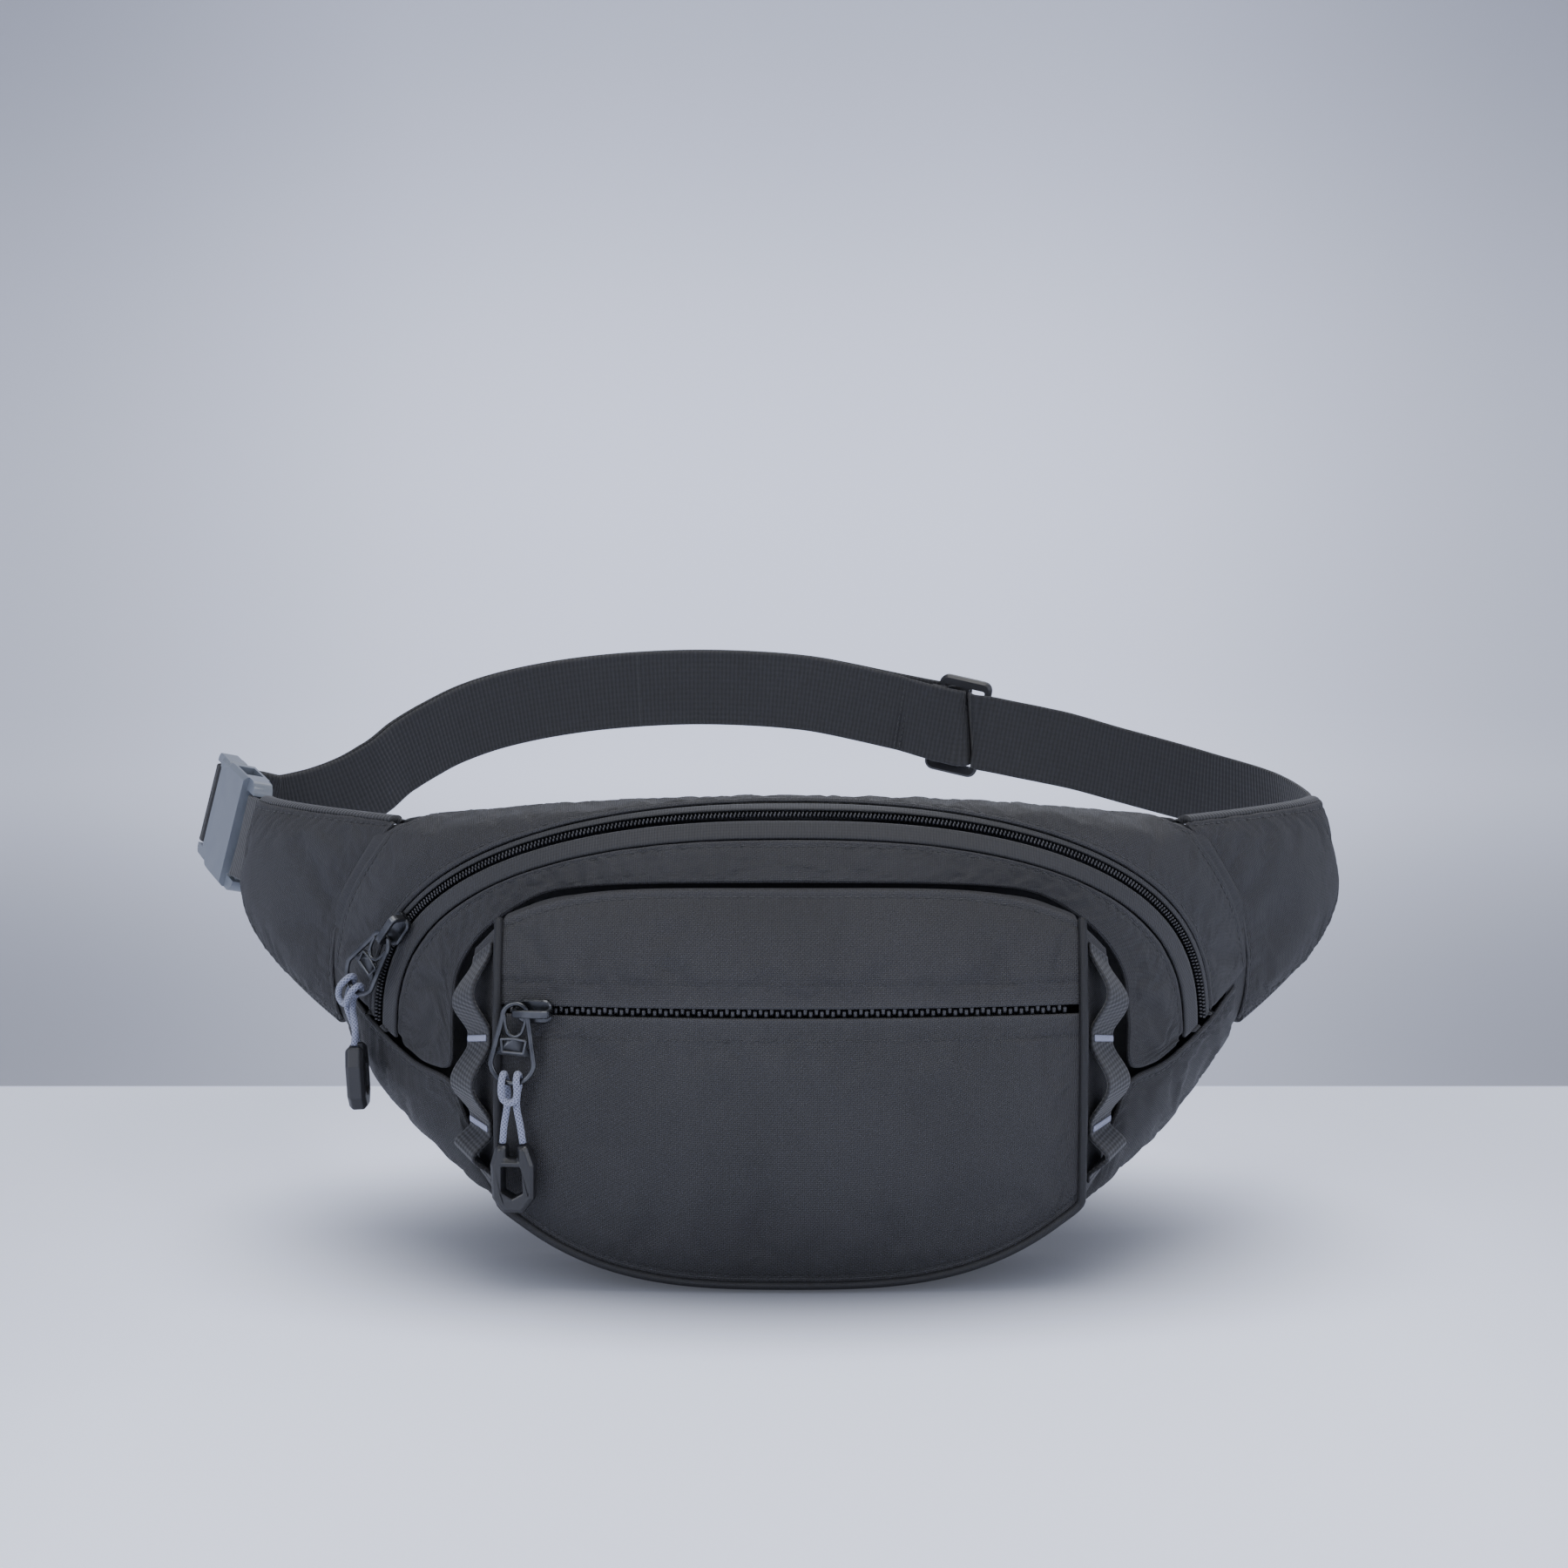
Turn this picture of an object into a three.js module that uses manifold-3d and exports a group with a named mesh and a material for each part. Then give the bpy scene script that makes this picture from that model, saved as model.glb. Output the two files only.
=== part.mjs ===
// Waist pack: a zipped crescent pouch with a raised front pocket, two padded wings that
// curve round the hips, and a webbing belt closed by a side-release buckle.
// Millimetres. +Z is up, -Y is the front that faces away from the wearer, +X is the
// right-hand side seen from the front. The origin is on the floor under the pouch's middle.
import * as THREE from "three";
import { mergeVertices } from "three/addons/utils/BufferGeometryUtils.js";
import Module from "manifold-3d";

const wasm = await Module();
wasm.setup();

/* ---------------- driving dimensions ---------------- */

const CLOTH = 1.4; // coated nylon with its lining
const SEAM = 0.5; // gap left between two sewn panels
const GAP = 0.35; // gap left between pieces that touch

// The pouch: a pillow whose section across X is a superellipse.
const HALF_LENGTH = 155; // from the middle to where the section would close
const TOP_HEIGHT = 151.6;
const TOP_FALL = 8.5; // how far the top edge has fallen at TOP_FALL_AT
const TOP_FALL_AT = 120;
const BOTTOM_FLAT = 35; // half length of the level bottom
const BOTTOM_RISE = 77; // how far the bottom edge has risen at HALF_LENGTH
const BOTTOM_SINK = 1.5; // pressed flat by the floor
const FRONT_DEPTH = 36;
const BACK_DEPTH = 25;
const END_FRONT_DEPTH = 10;
const END_BACK_DEPTH = 9;
const SWEEP = 46; // how far the ends are swept back round the body
const SECTION_POWER = 2.7;

// The arched main zip, an arch seen from the front.
const ARCH_BASE = 72;
const ARCH_HALF = 137.5;
const ARCH_RISE = 79;
const ARCH_POWER = 2.45;
const ZIP_BAND = 9.5; // both tapes together
const COIL_WIDTH = 2.2;
const COIL_AT = 2.9; // the coil runs close under the band's outer edge
const BACK_SEAM_TOP = 100; // section angles in degrees of the back panel's seams
const BACK_SEAM_LOW = 250;

// The front pocket.
const POCKET_HALF = 89.5;
const POCKET_ARC = 450; // plan radius of its face
const POCKET_FACE = 48; // furthest forward, from the pouch's middle plane
const POCKET_BULGE = 15;
const POCKET_TOP = 126.5;
const POCKET_MIDDLE = 62;
const POCKET_ZIP_HEIGHT = 90;
const POCKET_SLIT = 3.4; // gap between the two facings over the teeth
const WALL_FOOT = 104; // where the pocket's side wall meets the pouch

// Belt and hardware.
const WEBBING = 30;
const WEBBING_THICK = 1.4;
const LADDER_WEBBING = 18;
const WING_TIP_TOP = new THREE.Vector3(184, 88, 141);
const WING_TIP_LOW = new THREE.Vector3(191, 88, 110);

/* ---------------- materials ---------------- */

const look = (color, roughness, metalness = 0) =>
  new THREE.MeshStandardMaterial({ color, roughness, metalness });
const nylon = look(0x2b2d31, 0.75);
const darkNylon = look(0x1f2124, 0.8);
const mesh = look(0x17181a, 0.9);
const foam = look(0x2a2a2a, 0.95);
const webbing = look(0x1d1e20, 0.8);
const tape = look(0x1a1b1d, 0.85);
const coil = look(0x111214, 0.45);
const plastic = look(0x1b1c1e, 0.4);
const buckleGrey = look(0x868d97, 0.4);
const gunmetal = look(0x4a4c50, 0.35, 0.9);
const cordBlue = look(0x8f95a8, 0.8);
const thread = look(0x8a8fa8, 0.7);

/* ---------------- makers ---------------- */

const pack = new THREE.Group();

function named(name, material, geometry, parent = pack) {
  const made = new THREE.Mesh(geometry, material);
  made.name = name;
  parent.add(made);
  return made;
}

// The signed volume tells whether a closed geometry's faces point out.
function signedVolume(geometry) {
  const p = geometry.attributes.position;
  const index = geometry.index;
  const [a, b, c] = [new THREE.Vector3(), new THREE.Vector3(), new THREE.Vector3()];
  let sum = 0;
  for (let i = 0; i < index.count; i += 3) {
    a.fromBufferAttribute(p, index.getX(i));
    b.fromBufferAttribute(p, index.getX(i + 1));
    c.fromBufferAttribute(p, index.getX(i + 2));
    sum += a.dot(b.cross(c));
  }
  return sum;
}

// Shared vertices merged, and faces pointing out.
function closed(geometry) {
  geometry.deleteAttribute("normal");
  geometry.deleteAttribute("uv");
  const merged = mergeVertices(geometry, 1e-4);
  if (signedVolume(merged) < 0) {
    const turned = Array.from(merged.index.array);
    for (let i = 0; i < turned.length; i += 3) {
      [turned[i + 1], turned[i + 2]] = [turned[i + 2], turned[i + 1]];
    }
    merged.setIndex(turned);
  }
  return merged;
}

// A sheet of cloth or webbing: a subdivided box whose points, (u, v, w) from 0 to 1, are
// carried to their place by a function.
function sheet(columns, rows, place) {
  const box = new THREE.BoxGeometry(1, 1, 1, columns, rows, 1);
  const p = box.attributes.position;
  for (let i = 0; i < p.count; i += 1) {
    const at = place(p.getX(i) + 0.5, p.getY(i) + 0.5, p.getZ(i) + 0.5);
    p.setXYZ(i, at.x, at.y, at.z);
  }
  return closed(box);
}

function solid(geometry) {
  const g = closed(geometry.clone());
  return new wasm.Manifold(
    new wasm.Mesh({
      numProp: 3,
      vertProperties: new Float32Array(g.attributes.position.array),
      triVerts: new Uint32Array(g.index.array),
    }),
  );
}

function geometryOf(manifold) {
  const { vertProperties, triVerts, numProp } = manifold.getMesh();
  const points = new Float32Array((vertProperties.length / numProp) * 3);
  for (let i = 0; i < points.length / 3; i += 1) {
    points.set(vertProperties.subarray(i * numProp, i * numProp + 3), i * 3);
  }
  return new THREE.BufferGeometry()
    .setAttribute("position", new THREE.BufferAttribute(points, 3))
    .setIndex(new THREE.BufferAttribute(new Uint32Array(triVerts), 1));
}

const block = (x0, x1, y0, y1, z0, z1) =>
  solid(
    new THREE.BoxGeometry(x1 - x0, y1 - y0, z1 - z0).translate(
      (x0 + x1) / 2,
      (y0 + y1) / 2,
      (z0 + z1) / 2,
    ),
  );

// A rounded rectangle with its corner at (x0, y0).
function roundedShape(x0, x1, y0, y1, r) {
  const s = new THREE.Shape();
  s.moveTo(x0 + r, y0);
  s.lineTo(x1 - r, y0);
  s.absarc(x1 - r, y0 + r, r, -Math.PI / 2, 0, false);
  s.lineTo(x1, y1 - r);
  s.absarc(x1 - r, y1 - r, r, 0, Math.PI / 2, false);
  s.lineTo(x0 + r, y1);
  s.absarc(x0 + r, y1 - r, r, Math.PI / 2, Math.PI, false);
  s.lineTo(x0, y0 + r);
  s.absarc(x0 + r, y0 + r, r, Math.PI, 1.5 * Math.PI, false);
  return s;
}

// A flat shape in X and Y given a thickness in Z, centred on Z = 0, with eased edges.
function plate(shape, thick, ease = 0.5, curveSegments = 5) {
  return solid(
    new THREE.ExtrudeGeometry(shape, {
      depth: thick - 2 * ease,
      bevelEnabled: ease > 0,
      bevelThickness: ease,
      bevelSize: ease,
      bevelOffset: -ease,
      bevelSegments: 1,
      curveSegments,
    }).translate(0, 0, -thick / 2 + ease),
  );
}

// A rod along a curve, with flat ends.
function rod(curve, radius, sides, steps) {
  const section = new THREE.Shape();
  for (let i = 0; i < sides; i += 1) {
    const a = (2 * Math.PI * i) / sides;
    const to = [radius * Math.cos(a), radius * Math.sin(a)];
    if (i === 0) section.moveTo(...to);
    else section.lineTo(...to);
  }
  return closed(
    new THREE.ExtrudeGeometry(section, { steps, extrudePath: curve, bevelEnabled: false }),
  );
}

const mix = THREE.MathUtils.lerp;
const vec = (x, y, z) => new THREE.Vector3(x, y, z);
const signedPower = (a, power) => Math.sign(a) * Math.abs(a) ** power;

/* ---------------- the pouch's surface ---------------- */

const topEdge = (x) => TOP_HEIGHT - TOP_FALL * Math.abs(x / TOP_FALL_AT) ** 2.2;
const bottomEdge = (x) =>
  BOTTOM_RISE * (Math.max(0, Math.abs(x) - BOTTOM_FLAT) / (HALF_LENGTH - BOTTOM_FLAT)) ** 1.95 -
  BOTTOM_SINK;
const sweepAt = (x) => SWEEP * Math.abs(x / HALF_LENGTH) ** 3;

function sectionAt(x) {
  const full = 1 - Math.abs(x / HALF_LENGTH) ** 3;
  return {
    middle: (topEdge(x) + bottomEdge(x)) / 2,
    half: (topEdge(x) - bottomEdge(x)) / 2,
    front: mix(END_FRONT_DEPTH, FRONT_DEPTH, full),
    back: mix(END_BACK_DEPTH, BACK_DEPTH, full),
  };
}

// A point of the pouch: angle 0 is its furthest front, 90 its top, 180 its back, 270 its bottom.
function pouchPoint(x, degrees, inset) {
  const s = sectionAt(x);
  const a = THREE.MathUtils.degToRad(degrees);
  const depth = Math.cos(a) > 0 ? s.front : s.back;
  const y = sweepAt(x) - (depth - inset) * signedPower(Math.cos(a), 2 / SECTION_POWER);
  const z = s.middle + (s.half - inset) * signedPower(Math.sin(a), 2 / SECTION_POWER);
  return vec(x, y, Math.max(z, inset));
}

// The angle at which the pouch's front has this height.
function frontAngle(x, z) {
  const s = sectionAt(x);
  const t = THREE.MathUtils.clamp((z - s.middle) / s.half, -1, 1);
  return THREE.MathUtils.radToDeg(Math.asin(signedPower(t, SECTION_POWER / 2)));
}

const onFront = (x, z, inset) => pouchPoint(x, frontAngle(x, z), inset);

/* ---------------- seam lines, seen from the front ---------------- */

const wingSeam = (z) => 152.8 - 22.5 * ((z - 88) / 52) ** 2;
const gussetSeam = (x) => 63 + 26.5 * (Math.max(0, Math.abs(x) - 108) / 42) ** 1.6;
const pocketTop = (x) => POCKET_TOP - 9.5 * Math.abs(x / 88) ** 4.5;
const pocketFoot = (x) => 3.2 + 23 * Math.abs(x / 86) ** 3.2;

// The arch, set in by a distance; t runs from 0 at the left foot to 1 at the right foot.
function arch(t, inset) {
  const a = Math.PI * t;
  const x = -(ARCH_HALF - inset) * signedPower(Math.cos(a), 2 / ARCH_POWER);
  const z = ARCH_BASE + (ARCH_RISE - inset) * signedPower(Math.sin(a), 2 / ARCH_POWER);
  return { x, z: Math.max(z, gussetSeam(x) + SEAM) };
}

// A line across the front from left to right, given its right half from the middle out.
function mirrored(points) {
  const left = points.slice(1).reverse();
  return new THREE.SplineCurve([
    ...left.map(([x, z]) => new THREE.Vector2(-x, z)),
    ...points.map(([x, z]) => new THREE.Vector2(x, z)),
  ]);
}

// The hood's free edge: over the pocket, down beside it, and out along the gusset seam.
const hoodEdge = mirrored([
  [0, 128.2],
  [60, 126.8],
  [77, 123.8],
  [89, 117],
  [99, 108],
  [105.5, 97],
  [107.5, 82],
  [109, 66],
  [117, 65.8],
  [125, 70.2],
]);
// The lower gusset's front edge: from wing seam to wing seam, under the pocket.
const gussetEdge = mirrored([
  [0, 4],
  [48, 5.5],
  [72, 11],
  [88, 21],
  [98, 36],
  [103.5, 50],
  [109, 61.5],
  [122, 65.8],
  [136, 74.6],
  [148.8, 86],
]);

/* ---------------- panels of the pouch ---------------- */

named(
  "hood_panel",
  nylon,
  sheet(26, 3, (u, v, w) => {
    const low = hoodEdge.getPointAt(u);
    const high = arch(mix(0.004, 0.996, u), ZIP_BAND + SEAM);
    return onFront(mix(low.x, high.x, v), mix(low.y, high.z, v), CLOTH * w);
  }),
);

function zipStrip(name, material, from, to, inset, thick) {
  named(
    name,
    material,
    sheet(30, 1, (u, v, w) => {
      const at = arch(u, mix(from, to, v));
      return onFront(at.x, at.z, inset + thick * w);
    }),
  );
}
zipStrip("main_zip_tape_outer", tape, 0, COIL_AT - COIL_WIDTH / 2 - GAP, 0.5, 0.9);
zipStrip("main_zip_coil", coil, COIL_AT - COIL_WIDTH / 2, COIL_AT + COIL_WIDTH / 2, 0.2, 1.5);
zipStrip("main_zip_tape_inner", tape, COIL_AT + COIL_WIDTH / 2 + GAP, ZIP_BAND, 0.5, 0.9);

// The yoke's outer edge: up the left wing seam, along the back seam, down the right one.
const YOKE_CORNER = 0.16; // share of the edge that lies along each wing seam
function yokeEdge(u) {
  const side = u < 0.5 ? -1 : 1;
  const from = Math.min(u, 1 - u);
  if (from < YOKE_CORNER) {
    const z = mix(90.5, 139, from / YOKE_CORNER);
    const x = wingSeam(z) - SEAM;
    return { x: side * x, angle: frontAngle(x, z) };
  }
  const along = (from - YOKE_CORNER) / (0.5 - YOKE_CORNER);
  const x = mix(wingSeam(139) - SEAM, 0, along);
  const turned = Math.min(1, along / 0.12);
  return { x: side * x, angle: mix(frontAngle(x, 139), BACK_SEAM_TOP, turned) };
}

named(
  "top_yoke_panel",
  nylon,
  sheet(30, 3, (u, v, w) => {
    const inner = arch(mix(0.004, 0.996, u), -SEAM);
    const outer = yokeEdge(u);
    const from = frontAngle(inner.x, inner.z);
    return pouchPoint(mix(inner.x, outer.x, v), mix(from, outer.angle, v), CLOTH * w);
  }),
);

named(
  "lower_gusset_panel",
  nylon,
  sheet(22, 4, (u, v, w) => {
    const front = gussetEdge.getPointAt(u);
    const back = mix(-147.5, 147.5, u);
    const from = frontAngle(front.x, front.y) + 360;
    return pouchPoint(mix(front.x, back, v), mix(from, BACK_SEAM_LOW, v), CLOTH * w);
  }),
);

// Behind the pocket the pouch has its own front wall.
named(
  "main_front_panel",
  nylon,
  sheet(14, 5, (u, v, w) => {
    const x = mix(-97, 97, u);
    const low = 6.8 + 60 * Math.abs(x / 105) ** 6;
    const high = 125 - 34 * Math.abs(x / 104) ** 8;
    return onFront(x, mix(low, high, v), 0.1 + CLOTH * w);
  }),
);

// The back: a cloth wall, a foam pad and the air mesh that lies against the wearer.
const FOAM_THICK = 4;
const MESH_THICK = 1;
function backLayer(name, material, columns, rows, inset, thick, margin) {
  named(
    name,
    material,
    sheet(columns, rows, (u, v, w) => {
      const angle = mix(BACK_SEAM_TOP + margin, BACK_SEAM_LOW - margin, v);
      const across = 147 - 17 * Math.max(0, Math.sin(THREE.MathUtils.degToRad(angle))) ** 2 - margin;
      return pouchPoint(mix(-across, across, u), angle, inset + thick * w);
    }),
  );
}
backLayer("back_air_mesh", mesh, 16, 7, 0, MESH_THICK, 1);
backLayer("back_foam_pad", foam, 16, 7, MESH_THICK + GAP, FOAM_THICK, 1);
backLayer("back_lining", darkNylon, 16, 7, MESH_THICK + FOAM_THICK + 2 * GAP, CLOTH, 1);

/* ---------------- the front pocket ---------------- */

// The pocket's face: an arc in plan, and fuller at mid height.
function pocketPoint(x, z, inset) {
  const arc = POCKET_ARC - Math.sqrt(POCKET_ARC ** 2 - x ** 2);
  const full = 1 - Math.abs((z - POCKET_MIDDLE) / 65) ** 2.6;
  return vec(x, inset + arc - POCKET_FACE + POCKET_BULGE * (1 - full), z);
}

function pocketSheet(name, material, columns, rows, half, low, high, inset, thick) {
  named(
    name,
    material,
    sheet(columns, rows, (u, v, w) => {
      const x = mix(-half, half, u);
      return pocketPoint(x, mix(low(x), high(x), v), inset + thick * w);
    }),
  );
}
const level = (z) => () => z;
const SLIT_TOP = POCKET_ZIP_HEIGHT + POCKET_SLIT / 2;
const SLIT_LOW = POCKET_ZIP_HEIGHT - POCKET_SLIT / 2;
const ZIP_HALF = POCKET_HALF - 3;
pocketSheet("pocket_upper_facing", nylon, 14, 4, POCKET_HALF, level(SLIT_TOP), pocketTop, 0, CLOTH);
pocketSheet("pocket_lower_panel", nylon, 16, 7, POCKET_HALF, pocketFoot, level(SLIT_LOW), 0, CLOTH);
const TAPE_INSET = CLOTH + GAP;
const TEETH_HALF = 1.25;
const TEETH = POCKET_ZIP_HEIGHT;
pocketSheet(
  "pocket_zip_tape_upper",
  tape,
  14,
  1,
  ZIP_HALF,
  level(TEETH + TEETH_HALF + GAP),
  level(TEETH + 9),
  TAPE_INSET,
  0.8,
);
pocketSheet(
  "pocket_zip_tape_lower",
  tape,
  14,
  1,
  ZIP_HALF,
  level(TEETH - 9),
  level(TEETH - TEETH_HALF - GAP),
  TAPE_INSET,
  0.8,
);
pocketSheet(
  "pocket_zip_teeth",
  coil,
  14,
  1,
  ZIP_HALF,
  level(TEETH - TEETH_HALF),
  level(TEETH + TEETH_HALF),
  0.9,
  1.6,
);

// The side walls run back from the pocket's face to the pouch.
function wallPoint(side, z, across, stand) {
  const edge = pocketPoint(POCKET_HALF + SEAM, z, 1.5);
  const footHeight = mix(34, 104, (z - 28) / 88);
  const foot = onFront(WALL_FOOT - 3 * ((z - 72) / 44) ** 2, footHeight, 0);
  const line = foot.clone().sub(edge);
  const out = vec(-line.y, line.x, 0).normalize();
  const reach = 1 - 3 / line.length();
  const at = edge.add(line.multiplyScalar(across * reach)).addScaledVector(out, -stand);
  return vec(side * at.x, at.y, at.z);
}

// The webbing ladder is tacked down at two heights and stands off in loops between them.
const TACK_HEIGHTS = [81, 51];
const LADDER_TOP = 111;
const LADDER_LOW = 33;
const LOOP_STAND = 6.5;
function ladderStand(z) {
  const stops = [LADDER_TOP, ...TACK_HEIGHTS, LADDER_LOW];
  for (let i = 0; i < stops.length - 1; i += 1) {
    if (z <= stops[i] && z >= stops[i + 1]) {
      const t = (stops[i] - z - 2) / (stops[i] - stops[i + 1] - 4);
      return GAP + LOOP_STAND * Math.sin(Math.PI * THREE.MathUtils.clamp(t, 0, 1)) ** 2;
    }
  }
  return GAP;
}

for (const [word, side] of [
  ["left", -1],
  ["right", 1],
]) {
  named(
    "pocket_side_wall_" + word,
    nylon,
    sheet(4, 8, (u, v, w) => wallPoint(side, mix(28, 116, v), u, -CLOTH * w)),
  );
  const width = LADDER_WEBBING / 27;
  named(
    "ladder_webbing_" + word,
    webbing,
    sheet(1, 26, (u, v, w) => {
      const z = mix(LADDER_LOW, LADDER_TOP, v);
      return wallPoint(side, z, 0.5 + width * (u - 0.5), ladderStand(z) + 1.2 * w);
    }),
  );
  TACK_HEIGHTS.forEach((height, i) => {
    named(
      "bar_tack_" + word + (i === 0 ? "_upper" : "_lower"),
      thread,
      sheet(2, 1, (u, v, w) => {
        const z = height + 2 * (v - 0.5);
        return wallPoint(side, z, 0.5 + 0.85 * width * (u - 0.5), 2 * GAP + 1.25 + 0.7 * w);
      }),
    );
  });
}

// Piping runs down one side of the pocket's face, along its foot and up the other side.
const PIPING = 1.3;
const PIPING_OFF = 2.2; // from the face's edge to the middle of the piping
const pipingLine = [];
function pipeAt(x, z) {
  pipingLine.push(pocketPoint(x, Math.max(z, PIPING + 0.2), -0.2).add(vec(0, -0.6, 0)));
}
const cornerHeight = pocketFoot(POCKET_HALF);
for (let i = 0; i < 8; i += 1) {
  pipeAt(-POCKET_HALF - PIPING_OFF, mix(117, cornerHeight + 2, i / 7));
}
for (let i = 0; i <= 24; i += 1) {
  const x = mix(-POCKET_HALF, POCKET_HALF, i / 24);
  const slope = pocketFoot(x + 0.5) - pocketFoot(x - 0.5);
  const off = PIPING_OFF / Math.hypot(1, slope);
  pipeAt(x + slope * off, pocketFoot(x) - off);
}
for (let i = 7; i >= 0; i -= 1) {
  pipeAt(POCKET_HALF + PIPING_OFF, mix(117, cornerHeight + 2, i / 7));
}
named(
  "pocket_piping",
  darkNylon,
  rod(new THREE.CatmullRomCurve3(pipingLine), PIPING, 6, 44),
);

// The pocket's floor joins its foot to the pouch.
named(
  "pocket_floor",
  nylon,
  sheet(14, 1, (u, v, w) => {
    const x = mix(-80, 80, u);
    const front = pocketPoint(x, pocketFoot(x) + 1.2, CLOTH + 1);
    const back = onFront(x, 6.5 + 18 * Math.abs(x / 88) ** 3.5, -GAP);
    return front.lerp(back, 0.97 * v).add(vec(0, 0, 1.2 * w));
  }),
);

/* ---------------- wings ---------------- */

// A wing's middle surface curves from the pouch's end round to the hip; its tip is as
// high as the webbing and leans in at the top, as a cone round the waist does.
const WING_LOW_SEAM = 71.5;
const WING_TOP_SEAM = 141;
function wingPoint(side, u, v, across) {
  const z0 = mix(WING_LOW_SEAM, WING_TOP_SEAM, v);
  const root = vec(wingSeam(z0) + GAP, 0, z0);
  root.y = sweepAt(root.x) - 0.5;
  const tip = WING_TIP_LOW.clone().lerp(WING_TIP_TOP, v);
  const elbow = vec(mix(187, 178.5, v), mix(71, 67, v), mix(root.z, tip.z, 0.55));
  const curve = new THREE.QuadraticBezierCurve3(root, elbow, tip);
  const run = curve.getTangent(u);
  const turned = THREE.MathUtils.smoothstep(u, 0, 0.5);
  const out = vec(run.y * turned, mix(-1, -run.x, turned), 0).normalize();
  const at = curve.getPoint(u).addScaledVector(out, across);
  return vec(side * at.x, at.y, at.z);
}
const wingHalf = (u, v) =>
  2.2 + mix(7, 2, u ** 0.8) * (1 - Math.abs(2 * v - 1) ** 3) ** (1 / 3);

for (const [word, side] of [
  ["left", -1],
  ["right", 1],
]) {
  named(
    "wing_cover_" + word,
    nylon,
    sheet(10, 6, (u, v, w) => wingPoint(side, u, v, wingHalf(u, v) - w)),
  );
  named(
    "wing_foam_" + word,
    foam,
    sheet(8, 5, (u, v, w) => {
      const half = wingHalf(u, v) - 1 - GAP;
      return wingPoint(side, mix(0.02, 0.98, u), mix(0.02, 0.98, v), mix(-half, half, w));
    }),
  );
  named(
    "wing_air_mesh_" + word,
    mesh,
    sheet(10, 6, (u, v, w) => wingPoint(side, u, v, w - wingHalf(u, v))),
  );
}

/* ---------------- belt ---------------- */

// The belt leans in as it goes round, as on a waist.
const leanAt = (p) => vec(-p.x * 0.0013, -(p.y - 90) * 0.0008, 1).normalize();

// A ribbon of webbing along a curve, from share a to share b of it, moved off to one side.
function ribbonPoint(curve, t, v, w, aside, upright, thick = WEBBING_THICK, width = WEBBING) {
  const at = curve.getPoint(t);
  const run = curve.getTangent(t);
  const up = upright(at).clone();
  up.addScaledVector(run, -up.dot(run)).normalize();
  const side = run.clone().cross(up);
  return at.addScaledVector(up, (v - 0.5) * width).addScaledVector(side, aside + (w - 0.5) * thick);
}

// The glide sits in the middle of a straight stretch of belt and slides along it.
const GLIDE = vec(67, 205.5, 157.2);
const GLIDE_RUN = vec(-70, 16.5, 15).normalize();
const GLIDE_TRAVEL = 10; // each way
const GLIDE_CLEAR = 22; // where the fixed belt stops, short of the glide's furthest reach
const TAIL = GLIDE_CLEAR + GLIDE_TRAVEL + 1; // the sliding webbing overlaps the fixed belt
const onGlide = (along) => GLIDE.clone().addScaledVector(GLIDE_RUN, along);

// The buckle's own frame: X from the housing's bar to the strap's bar, Y up the webbing's width.
const BUCKLE = vec(-194, 104, 125.5);
const BUCKLE_RUN = vec(-0.42, 0.89, 0.15).normalize();
const BAR_TO_BAR = 48;
const buckleUp = vec(0.25, 0, 1);
buckleUp.addScaledVector(BUCKLE_RUN, -buckleUp.dot(BUCKLE_RUN)).normalize();
const buckleOut = BUCKLE_RUN.clone().cross(buckleUp);
const strapBar = BUCKLE.clone().addScaledVector(BUCKLE_RUN, BAR_TO_BAR);

const BELT_LAYERS = 2.4; // the two layers lie this far apart
const tipMiddle = (side) => {
  const at = WING_TIP_LOW.clone().lerp(WING_TIP_TOP, 0.5);
  return vec(side * at.x, at.y, at.z);
};
const rightRun = new THREE.CatmullRomCurve3([
  tipMiddle(1).add(vec(0.2, 0.8, 0)),
  vec(189.5, 108, 127),
  vec(182, 138, 131),
  vec(160, 166, 136),
  vec(128, 187, 143.5),
  onGlide(-46),
  onGlide(-34),
  onGlide(-GLIDE_CLEAR),
]);
// Both layers leave the strap's bar square to the buckle, on its inner side.
const loopOut = buckleOut.clone();
const leftRun = new THREE.CatmullRomCurve3([
  onGlide(GLIDE_CLEAR),
  onGlide(34),
  onGlide(46),
  vec(0, 217.5, 170),
  vec(-43, 218, 171.5),
  vec(-90, 210, 168),
  vec(-124, 196, 160.5),
  vec(-147, 180, 149),
  vec(-163, 168.5, 137),
  vec(-178, 162, 130.5),
  strapBar.clone().addScaledVector(loopOut, 24),
  strapBar.clone().addScaledVector(loopOut, 12),
]);

named(
  "belt_right",
  webbing,
  sheet(18, 1, (u, v, w) => ribbonPoint(rightRun, u, v, w, 0, leanAt)),
);
for (const [name, aside] of [
  ["belt_far_layer", BELT_LAYERS / 2],
  ["belt_near_layer", -BELT_LAYERS / 2],
]) {
  named(
    name,
    webbing,
    sheet(30, 2, (u, v, w) => ribbonPoint(leftRun, u, v, w, aside, leanAt)),
  );
}

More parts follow.
